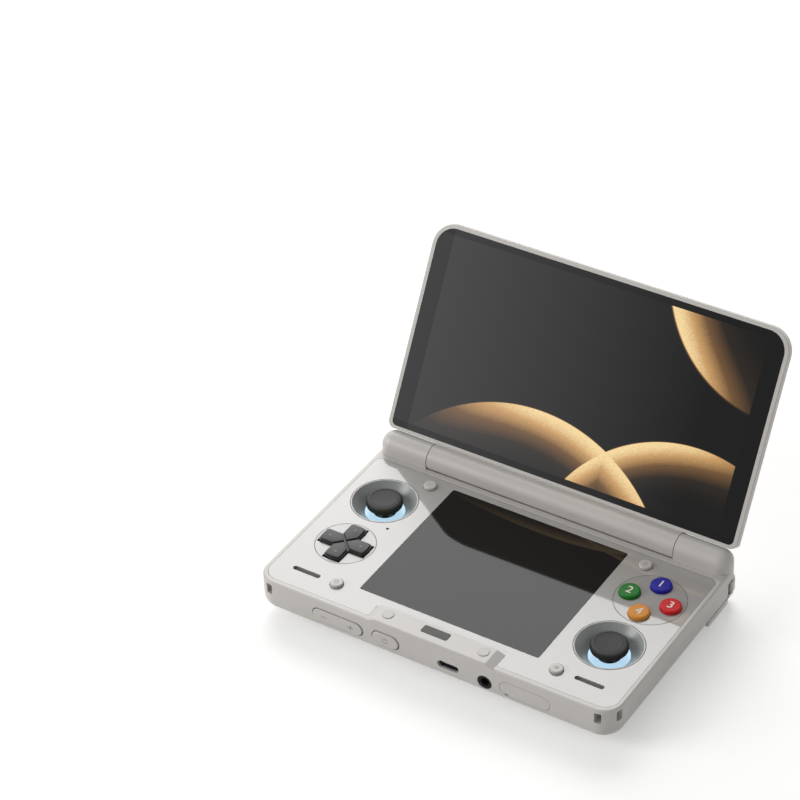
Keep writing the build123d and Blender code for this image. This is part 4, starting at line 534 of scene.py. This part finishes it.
def raise_arc(name, radius, width, thickness, opening=0.0):
    """A flat ring lying at the origin, open at its top by this many degrees each side."""
    clear_selection()
    bpy.ops.mesh.primitive_circle_add(vertices=48, radius=radius * MM, fill_type="NGON")
    piece = bpy.context.object
    piece.name = name
    open_up()
    bpy.ops.mesh.inset(thickness=width * MM, depth=0)
    bpy.ops.mesh.delete(type="FACE")
    if opening:
        pick(piece, "FACE", lambda p, n: p.y > 0 and abs(p.x) < p.y * sin(radians(opening)))
        bpy.ops.mesh.delete(type="FACE")
    bpy.ops.mesh.select_all(action="SELECT")
    lift(thickness * MM)
    bpy.ops.object.mode_set(mode="OBJECT")
    return piece


def raise_number(name, text, height, thickness):
    """A number lying at the origin, centred on it, made a mesh."""
    clear_selection()
    bpy.ops.object.text_add()
    piece = bpy.context.object
    piece.name = name
    piece.data.body = text
    piece.data.size = height * MM / CAPITAL_SHARE
    piece.data.extrude = thickness * MM / 2
    piece.data.offset = height * MM * NUMBER_WEIGHT
    bpy.ops.object.convert(target="MESH")
    low = Vector(piece.bound_box[0])
    high = Vector(piece.bound_box[6])
    piece.data.transform(Matrix.Translation(-(low + high) / 2))
    return piece


def set_down(piece, place, facing="up"):
    """Turn a piece made at the origin up or towards the player, put it at its place and finish it."""
    piece.rotation_euler = (0, 0, 0) if facing == "up" else (pi / 2, 0, 0)
    piece.location = place
    return close_up(piece)


def joined(pieces, name):
    """Join these objects into the first."""
    select_only(pieces)
    if len(pieces) > 1:
        bpy.ops.object.join()
    pieces[0].name = name
    return pieces[0]


def four_of(piece, name):
    """A piece joined with its copies at the other three quarter turns about its origin."""
    pieces = [piece]
    for quarter in (1, 2, 3):
        twin = piece.copy()
        twin.data = piece.data.copy()
        bpy.context.scene.collection.objects.link(twin)
        twin.data.transform(Matrix.Rotation(quarter * pi / 2, 4, "Z"))
        pieces.append(twin)
    return joined(pieces, name)


def put_material(piece, material):
    """Give a new piece one finish."""
    piece.data.materials.clear()
    piece.data.materials.append(material)


def dress(piece, material, body):
    """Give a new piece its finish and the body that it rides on."""
    put_material(piece, material)
    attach(piece, body)


def middle_of(node):
    """The middle of a node's box in plan, and the height of its top, in metres."""
    low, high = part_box(node)
    return (low.x + high.x) / 2, (low.y + high.y) / 2, high.z


def front_of(node):
    """The middle of the front of a node's box, in metres."""
    low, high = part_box(node)
    return (low.x + high.x) / 2, low.y, (low.z + high.z) / 2


class CONSOLE_OT_finish_cases(bpy.types.Operator):
    """Finish the moulded cases, the lid and the shoulder keys"""
    bl_idname = "console.finish_cases"
    bl_label = "Finish cases"

    def execute(self, context):
        colours = settings()[0]
        shell = spark_eroded_abs("Spark-eroded ABS, warm grey", colours.shell)
        finish_nodes(shell, ["upper_case", "lower_case", "lid_front_frame", "lid_back_cover", "hinge_cover",
                             "barrel_caps", "card_flap", "volume_rocker", "power_button"])
        shoulder = spark_eroded_abs("Fine-grained ABS, warm grey", colours.shoulder, 0.34)
        finish_nodes(shoulder, ["left_bumper", "right_bumper", "left_trigger", "right_trigger"])
        return {"FINISHED"}


class CONSOLE_OT_finish_deck(bpy.types.Operator):
    """Finish the faceplate, the discs, the wells, the light rings and the badge"""
    bl_idname = "console.finish_deck"
    bl_label = "Finish deck"

    def execute(self, context):
        colours = settings()[0]
        plate = lacquered_polycarbonate("Lacquered polycarbonate, pearl grey", colours.faceplate)
        finish_nodes(plate, ["faceplate"])
        # the faceplate's lacquer made darker: painted shade from the pad and the keys over the discs
        disc = lacquered_polycarbonate("Lacquered polycarbonate, painted shade", colours.disc)
        finish_nodes(disc, ["dpad_disc", "face_button_disc"])
        # the wells' grey is darker than the shell and tinged green: painted shade of the recess and painted
        # light from the rings
        well = polished_abs("Polished ABS, wells in painted shade", colours.well)
        finish_nodes(well, ["left_stick_well", "right_stick_well"])
        finish_nodes(glowing_diffuser("Opal acrylic, lit", colours.ring), ["light_rings"])
        finish_nodes(brushed_metal("Anodised aluminium, dark", colours.badge, 0.42), ["badge_plate"])
        finish_nodes(clear_silicone("Clear silicone", linear("#BDB9B4")), ["lid_pads"])
        return {"FINISHED"}


class CONSOLE_OT_finish_screens(bpy.types.Operator):
    """Finish the two screens"""
    bl_idname = "console.finish_screens"
    bl_label = "Finish screens"

    def execute(self, context):
        colours = settings()[0]
        glass = dark_glass("Cover glass over a dark display", linear("#1B1917"))
        finish_nodes(glass, ["lower_screen_glass"])
        picture = lit_display("Cover glass over a lit display", colours.picture_dark, colours.picture_gold)
        finish_nodes(picture, ["top_screen_glass"])
        return {"FINISHED"}


class CONSOLE_OT_finish_keys(bpy.types.Operator):
    """Finish the face buttons and the small round buttons"""
    bl_idname = "console.finish_keys"
    bl_label = "Finish keys"

    def execute(self, context):
        colours = settings()[0]
        for side, colour in (("left", colours.left_key), ("back", colours.back_key),
                             ("right", colours.right_key), ("front", colours.front_key)):
            key = polished_abs(f"Polished ABS, {side} key", colour, 0.34, 0.2)
            finish_nodes(key, [f"{side}_face_button"])
        small = polished_abs("Polished ABS, light grey", colours.small_key)
        finish_nodes(small, ["upper_left_button", "upper_right_button", "lower_left_button",
                             "lower_right_button"])
        return {"FINISHED"}


class CONSOLE_OT_finish_inside(bpy.types.Operator):
    """Finish what is held inside the cases"""
    bl_idname = "console.finish_inside"
    bl_label = "Finish inside"

    def execute(self, context):
        black = polished_abs("Glass-filled nylon, black", linear("#1E1F20"), 0.5)
        finish_nodes(black, ["stick_housings", "fan_housing", "fan_impeller", "speakers", "dpad_pivot",
                             "left_stick_gimbal", "right_stick_gimbal", "left_stick_rocker",
                             "right_stick_rocker", "card_reader", "tact_switches"])
        finish_nodes(moulded_rubber("Moulded nylon, jet black", linear("#0B0B0B")), ["headphone_jack"])
        steel = brushed_metal("Drawn steel", linear("#A9AAAC"))
        finish_nodes(steel, ["hinge_brackets", "hinge_shafts", "pivot_pins", "usb_port"])
        finish_nodes(brushed_metal("Extruded aluminium", linear("#B8B9BA"), 0.4), ["heatsink"])
        finish_nodes(solder_masked_board("Solder-masked board"), ["main_board", "button_boards"])
        finish_nodes(polished_abs("Battery wrap, dark film", linear("#2A2C31"), 0.35), ["battery"])
        panel = dark_glass("Display panel, off", linear("#161618"))
        finish_nodes(panel, ["lower_display", "top_display"])
        finish_nodes(polished_abs("Polyimide ribbon", linear("#8C5A1E"), 0.3), ["display_flex"])
        finish_nodes(moulded_rubber("Moulded rubber, dark", linear("#37383A")), ["front_feet"])
        finish_nodes(moulded_rubber("Moulded silicone, grey", linear("#8E9092"), 0.55), ["key_domes"])
        return {"FINISHED"}


class CONSOLE_OT_stick_tops(bpy.types.Operator):
    """Model the dished stick tops with a groove inside the rim and a knurled side"""
    bl_idname = "console.stick_tops"
    bl_label = "Stick tops"

    def execute(self, context):
        colours, sizes, _ = settings()
        rubber = moulded_rubber("Moulded rubber, stick tops", colours.dark_key, 0.58)
        groove = sizes.rim_groove / MM
        for side in ("left", "right"):
            node = f"{side}_stick_cap"
            x, y, top = middle_of(node)
            low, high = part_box(node)
            radius = (high.x - low.x) / 2 / MM
            lip = radius - STICK_SIDE[-1][0]
            section = [(STICK_NECK[0][0], low.z / MM)]
            section += [(out, top / MM - drop) for out, drop in (
                *STICK_NECK, *((radius - inside, drop) for inside, drop in STICK_SIDE),
                *((lip - inside - widths * groove, drop) for inside, widths, drop in STICK_GROOVE),
                *STICK_DISH)]
            cap = turned(f"{side}_stick_top", (x, y), section, sizes.knurl_count)
            middle = Vector((x, y))
            pick(cap, "FACE", lambda p, n: KNURL_BAND[0] < (top - p.z) / MM < KNURL_BAND[1]
                 and (p.xy - middle).length > (radius - KNURL_INSIDE) * MM)
            bpy.ops.mesh.inset(thickness=KNURL_BORDER * MM, depth=-sizes.knurl_height, use_individual=True)
            close_up(cap)
            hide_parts(node)
            dress(cap, rubber, f"{side}_stick")
        return {"FINISHED"}


class CONSOLE_OT_four_way_pad(bpy.types.Operator):
    """Model the four-way pad: one arm with a ledge, turned to four and welded, and its raised pointers"""
    bl_idname = "console.four_way_pad"
    bl_label = "Four-way pad"

    def execute(self, context):
        colours, sizes, _ = settings()
        x, y, top = middle_of("dpad")
        low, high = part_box("dpad")
        reach = (high.x - low.x) / 2 - sizes.pad_skirt
        foot = top - PAD_DEPTH * MM
        ledge = top - sizes.pad_crown
        half = sizes.pad_arm / 2
        clear_selection()
        bpy.ops.mesh.primitive_circle_add(vertices=48, radius=reach, fill_type="NGON",
                                          location=(x, y, foot))
        arm = bpy.context.object
        bpy.ops.object.mode_set(mode="EDIT")
        # the disc is cut to the arm's two sides and to the quarter that the other arms leave
        for corner, out in (((x, y + half, 0), (0, 1, 0)), ((x, y - half, 0), (0, -1, 0)),
                            ((x, y, 0), (-1, 1, 0)), ((x, y, 0), (-1, -1, 0))):
            bpy.ops.mesh.select_all(action="SELECT")
            bpy.ops.mesh.bisect(plane_co=corner, plane_no=out, clear_outer=True)
        pick(arm, "VERT", lambda p, n: abs(abs(p.y - y) - half) < NEAR and p.x > x + 1.5 * half)
        bpy.ops.mesh.bevel(offset=PAD_CORNER * MM, segments=4, affect="VERTICES")
        bpy.ops.mesh.select_mode(type="FACE")
        bpy.ops.mesh.select_all(action="SELECT")
        lift(ledge - foot)
        bpy.ops.mesh.inset(thickness=sizes.pad_step, depth=0)
        lift(top - ledge)
        bpy.ops.mesh.region_to_loop()
        bpy.ops.mesh.bevel(offset=PAD_EDGE * MM, segments=3, affect="EDGES")
        # the walls where the arms meet go, so that the four weld into one
        pick(arm, "FACE", lambda p, n: n.x < -0.6 and abs(n.y) > 0.6 and p.z < ledge - 10 * NEAR)
        bpy.ops.mesh.delete(type="FACE")
        bpy.ops.object.mode_set(mode="OBJECT")
        pad = close_up(four_of(arm, "four_way_pad"), 30)
        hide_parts("dpad")
        dress(pad, moulded_rubber("Moulded ABS, four-way pad", colours.pad, 0.42), "dpad")
        self.add_pointers(Vector((x, y, top)), sizes, printed_ink("Moulded pointers", colours.pad_mark))
        return {"FINISHED"}

    def add_pointers(self, middle, sizes, ink):
        """A small triangle on each arm, pointing outwards."""
        clear_selection()
        bpy.ops.mesh.primitive_circle_add(vertices=3, radius=POINTER_RADIUS * MM, fill_type="NGON",
                                          location=(0, sizes.pad_arm * POINTER_PLACE, 0))
        pointer = bpy.context.object
        bpy.ops.object.transform_apply(location=True, rotation=False, scale=False)
        open_up()
        lift(sizes.print_thickness)
        bpy.ops.object.mode_set(mode="OBJECT")
        dress(set_down(four_of(pointer, "pad_pointers"), middle), ink, "dpad")


class CONSOLE_OT_key_numbers(bpy.types.Operator):
    """Print a number on each face button"""
    bl_idname = "console.key_numbers"
    bl_label = "Key numbers"

    def execute(self, context):
        colours, sizes, _ = settings()
        ink = printed_ink("Pad-printed ink, cream", colours.key_mark)
        for side, text in (("back", "1"), ("left", "2"), ("right", "3"), ("front", "4")):
            x, y, top = middle_of(f"{side}_face_button")
            number = raise_number(f"{side}_key_number", text, sizes.number_height / MM,
                                  sizes.print_thickness / MM)
            set_down(number, (x, y, top + sizes.print_thickness / 2))
            dress(number, ink, f"{side}_face_button")
        return {"FINISHED"}


class CONSOLE_OT_key_marks(bpy.types.Operator):
    """Mark the small round keys, the volume rocker and the power button with plain signs"""
    bl_idname = "console.key_marks"
    bl_label = "Key marks"

    def execute(self, context):
        colours, sizes, _ = settings()
        ink = printed_ink("Pad-printed ink, grey", colours.faint_mark)
        thin = sizes.print_thickness / MM

        def bar(length, width, centre=(0, 0)):
            return raise_plate("sign", (length, width), thin, centre=centre)

        # sizes of the strokes in mm
        for node, strokes in (
                ("upper_left_button", [bar(1.7, 0.3)]),
                ("upper_right_button", [bar(1.7, 0.3), bar(0.3, 1.7)]),
                ("lower_left_button", [raise_arc("sign", 0.9, 0.3, thin)]),
                ("lower_right_button", [bar(1.6, 0.3, (0, step)) for step in (-0.55, 0, 0.55)])):
            sign = set_down(joined(strokes, f"{node}_sign"), middle_of(node))
            dress(sign, ink, node)
        for node, name, strokes in (
                ("volume_rocker", "volume_signs", [bar(2.3, 0.38, (-5.8, 0)), bar(2.3, 0.38, (5.8, 0)),
                                                   bar(0.38, 2.3, (5.8, 0))]),
                ("power_button", "power_sign", [raise_arc("sign", 1.25, 0.32, thin, 38),
                                                bar(0.32, 1.3, (0, 0.85))])):
            sign = set_down(joined(strokes, name), front_of(node), "front")
            dress(sign, ink, node)
        return {"FINISHED"}


class CONSOLE_OT_deck_trim(bpy.types.Operator):
    """Model the stick wells' bright lips, dark rings of painted shade in the gaps round the wells and
    discs, and the woven meshes in the speaker slots
    """
    bl_idname = "console.deck_trim"
    bl_label = "Deck trim"

    def execute(self, context):
        colours, sizes, _ = settings()
        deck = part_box("faceplate")[1].z / MM
        lip = polished_abs("Polished ABS, well lips", colours.lip, 0.22)
        # dark rubber rings round the wells and discs: painted shade standing in for the shadow in the thin
        # gaps
        gap_shade = moulded_rubber("Moulded rubber, painted gap shade", colours.gap_shade)
        outer = sizes.well_radius / MM
        half = sizes.gap_shade_width / MM / 2
        rings = []
        for side in ("left", "right"):
            section = [(outer - inside, deck + height) for inside, height in WELL_LIP]
            rings.append((f"{side}_well_lip", f"{side}_stick_well", section, lip))
            rings.append((f"{side}_well_gap_shade", f"{side}_stick_well", outer + WELL_GAP_SHADE, gap_shade))
        for node, name in (("dpad_disc", "pad_gap_shade"), ("face_button_disc", "face_button_gap_shade")):
            low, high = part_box(node)
            rings.append((name, node, (high.x - low.x) / 2 / MM + DISC_GAP_SHADE, gap_shade))
        for name, node, section, material in rings:
            if material == gap_shade:
                section = [(section + across * half, deck + height) for across, height in GAP_SHADE]
            ring = close_up(turned(name, middle_of(node), section, RING_SEGMENTS, hollow=True))
            dress(ring, material, "base")
        cloth = woven_mesh("Woven acoustic mesh, grey", sizes.mesh_pitch)
        for side, way in (("left", -1), ("right", 1)):
            mesh = raise_plate(f"{side}_speaker_mesh", *MESH_SIZE)
            set_down(mesh, (way * MESH_PLACE[0] * MM, MESH_PLACE[1] * MM, (deck + MESH_PLACE[2]) * MM))
            dress(mesh, cloth, "base")
        return {"FINISHED"}


class CONSOLE_OT_case_screws(bpy.types.Operator):
    """Model the case screws: turned countersunk heads with a cross recess, and plain shanks"""
    bl_idname = "console.case_screws"
    bl_label = "Case screws"

    def execute(self, context):
        sizes = settings()[1]
        steel = brushed_metal("Blackened steel, screws", linear("#5B5C5E"), 0.38)
        for number, (low, high) in enumerate(self.screw_boxes(), 1):
            x, y = (low.x + high.x) / 2, (low.y + high.y) / 2
            head = (high.x - low.x) / 2 / MM
            bottom, top = low.z / MM, high.z / MM
            tip, shank = (head * share for share in SCREW_SHARES)
            cone, foot, edge = SCREW_HEAD
            section = [(tip, top), (shank, top - SCREW_TIP), (shank, bottom + cone), (head, bottom + foot),
                       (head, bottom + edge), (head - edge, bottom)]
            screw = turned(f"case_screw_{number}", (x, y), section, 32)
            self.cut_cross(screw, Vector((x, y, low.z)), sizes.screw_slot / 2, head * MM * CROSS_REACH)
            close_up(screw)
            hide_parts("case_screws")
            dress(screw, steel, "base")
        return {"FINISHED"}

    def screw_boxes(self):
        """The box of each separate screw in the node."""
        mesh = bmesh.new()
        mesh.from_mesh(NODES["case_screws"].data)
        bmesh.ops.remove_doubles(mesh, verts=mesh.verts, dist=WELD)
        left = set(mesh.verts)
        boxes = []
        while left:
            island, edge = [], [left.pop()]
            while edge:
                corner = edge.pop()
                island.append(corner.co)
                for side in corner.link_edges:
                    other = side.other_vert(corner)
                    if other in left:
                        left.discard(other)
                        edge.append(other)
            boxes.append([Vector([end(place[axis] for place in island) for axis in range(3)])
                          for end in (min, max)])
        mesh.free()
        return sorted(boxes, key=lambda box: (round(box[0].x, 5), round(box[0].y, 5)))

    def cut_cross(self, screw, face, half, reach):
        """The cross recess: the end face is cut along four lines each way and the cross pushed in."""
        select_only([screw])
        bpy.ops.object.mode_set(mode="EDIT")
        for axis in (Vector((1, 0, 0)), Vector((0, 1, 0))):
            for offset in (-reach, -half, half, reach):
                bpy.ops.mesh.select_mode(type="FACE")
                pick(screw, "FACE", lambda p, n: p.z < face.z + NEAR)
                bpy.ops.mesh.bisect(plane_co=face + axis * offset, plane_no=axis)
        pick(screw, "FACE", lambda p, n: p.z < face.z + NEAR
             and min(abs(p.x - face.x), abs(p.y - face.y)) < half
             and max(abs(p.x - face.x), abs(p.y - face.y)) < reach)
        lift(CROSS_DEPTH * MM)
        bpy.ops.object.mode_set(mode="OBJECT")


class CONSOLE_OT_stage(bpy.types.Operator):
    """Set the floor, the lamps, the sky and the camera"""
    bl_idname = "console.stage"
    bl_label = "Stage"

    def execute(self, context):
        stage = settings()[2]
        self.lay_floor()
        self.hang_lamp("key_lamp", *KEY_LAMP, stage.key)
        self.hang_lamp("back_lamp", *BACK_LAMP, stage.back)
        self.light_sky(stage)
        self.place_camera(stage)
        context.scene.view_settings.view_transform = "Standard"
        return {"FINISHED"}

    def lay_floor(self):
        """A plain sheet of white paper."""
        clear_selection()
        bpy.ops.mesh.primitive_plane_add(size=FLOOR_SIZE, location=(0, 0, -FLOOR_GAP))
        floor = bpy.context.object
        floor.name = "studio_floor"
        material = bpy.data.materials.new("Paper floor, white")
        material.use_nodes = True
        tree = material.node_tree
        tree.nodes.clear()
        # paper is lit a little by its own white for the camera and in mirrors, so it reads white and still
        # takes the shadow; far from the lamps it would turn grey, so its own white grows with the distance
        paper = add_node(tree, "ShaderNodeBsdfDiffuse", {"Color": linear("#EDEDEC")})
        place = add_node(tree, "ShaderNodeTexCoord").outputs["Object"]
        reach = add_node(tree, "ShaderNodeVectorMath", {0: place}, operation="LENGTH")
        own = add_node(tree, "ShaderNodeMapRange", {"Value": reach.outputs["Value"], **FLOOR_WHITE},
                       interpolation_type="SMOOTHSTEP")
        white = add_node(tree, "ShaderNodeEmission", {"Color": (1, 1, 1, 1), "Strength": own})
        both = add_node(tree, "ShaderNodeAddShader", {0: paper, 1: white})
        mix = add_node(tree, "ShaderNodeMixShader", {0: seen_directly(tree), 1: paper, 2: both})
        add_node(tree, "ShaderNodeOutputMaterial", {"Surface": mix})
        put_material(floor, material)

    def hang_lamp(self, name, place, size, power):
        """A square soft lamp, aimed at the origin."""
        data = bpy.data.lights.new(name, "AREA")
        data.size = size
        data.energy = power
        lamp = bpy.data.objects.new(name, data)
        bpy.context.scene.collection.objects.link(lamp)
        lamp.location = place
        lamp.rotation_euler = (-Vector(place)).to_track_quat("-Z", "Y").to_euler()

    def light_sky(self, stage):
        """Even light from all round, which is white where it is seen directly."""
        world = bpy.context.scene.world or bpy.data.worlds.new("sky")
        bpy.context.scene.world = world
        world.use_nodes = True
        tree = world.node_tree
        tree.nodes.clear()
        strength = add_node(tree, "ShaderNodeMapRange", {"Value": seen_directly(tree), "To Min": stage.sky,
                                                         "To Max": 1.0})
        sky = add_node(tree, "ShaderNodeBackground", {"Color": (1, 1, 1, 1), "Strength": strength})
        add_node(tree, "ShaderNodeOutputWorld", {"Surface": sky})

    def place_camera(self, stage):
        """The camera at the photograph's viewing angle."""
        data = bpy.data.cameras.new("photo_camera")
        data.lens = stage.lens
        data.sensor_width = SENSOR
        camera = bpy.data.objects.new("photo_camera", data)
        bpy.context.scene.collection.objects.link(camera)
        right, down = Vector(CAMERA_RIGHT), Vector(CAMERA_DOWN)
        turn = Matrix((right, -down, -right.cross(down))).transposed().to_4x4()
        camera.matrix_world = Matrix.Translation(CAMERA_PLACE) @ turn
        bpy.context.scene.camera = camera


class CONSOLE_PT_looks(bpy.types.Panel):
    """Sidebar panel that lists the console's steps and settings"""
    bl_idname = "CONSOLE_PT_looks"
    bl_label = "Console"
    bl_space_type = "VIEW_3D"
    bl_region_type = "UI"
    bl_category = "Console"

    def draw(self, context):
        for operator in OPERATORS:
            self.layout.operator(operator.bl_idname)
        for group, kind in ((context.scene.console_colours, ConsoleColours),
                            (context.scene.console_sizes, ConsoleSizes),
                            (context.scene.console_stage, ConsoleStage)):
            for name in kind.__annotations__:
                self.layout.prop(group, name)


GROUPS = (ConsoleColours, ConsoleSizes, ConsoleStage)
OPERATORS = (CONSOLE_OT_stage, CONSOLE_OT_finish_cases, CONSOLE_OT_finish_deck, CONSOLE_OT_finish_screens,
             CONSOLE_OT_finish_keys, CONSOLE_OT_finish_inside, CONSOLE_OT_stick_tops,
             CONSOLE_OT_four_way_pad, CONSOLE_OT_key_numbers, CONSOLE_OT_key_marks, CONSOLE_OT_deck_trim,
             CONSOLE_OT_case_screws)


def register():
    for kind in (*GROUPS, *OPERATORS, CONSOLE_PT_looks):
        bpy.utils.register_class(kind)
    bpy.types.Scene.console_colours = PointerProperty(type=ConsoleColours)
    bpy.types.Scene.console_sizes = PointerProperty(type=ConsoleSizes)
    bpy.types.Scene.console_stage = PointerProperty(type=ConsoleStage)


def unregister():
    del bpy.types.Scene.console_colours
    del bpy.types.Scene.console_sizes
    del bpy.types.Scene.console_stage
    for kind in (CONSOLE_PT_looks, *reversed(OPERATORS), *reversed(GROUPS)):
        bpy.utils.unregister_class(kind)


def main():
    """Register, and run every step in order."""
    register()
    for operator in OPERATORS:
        group, name = operator.bl_idname.split(".")
        getattr(getattr(bpy.ops, group), name)()


if __name__ == "__main__":
    main()
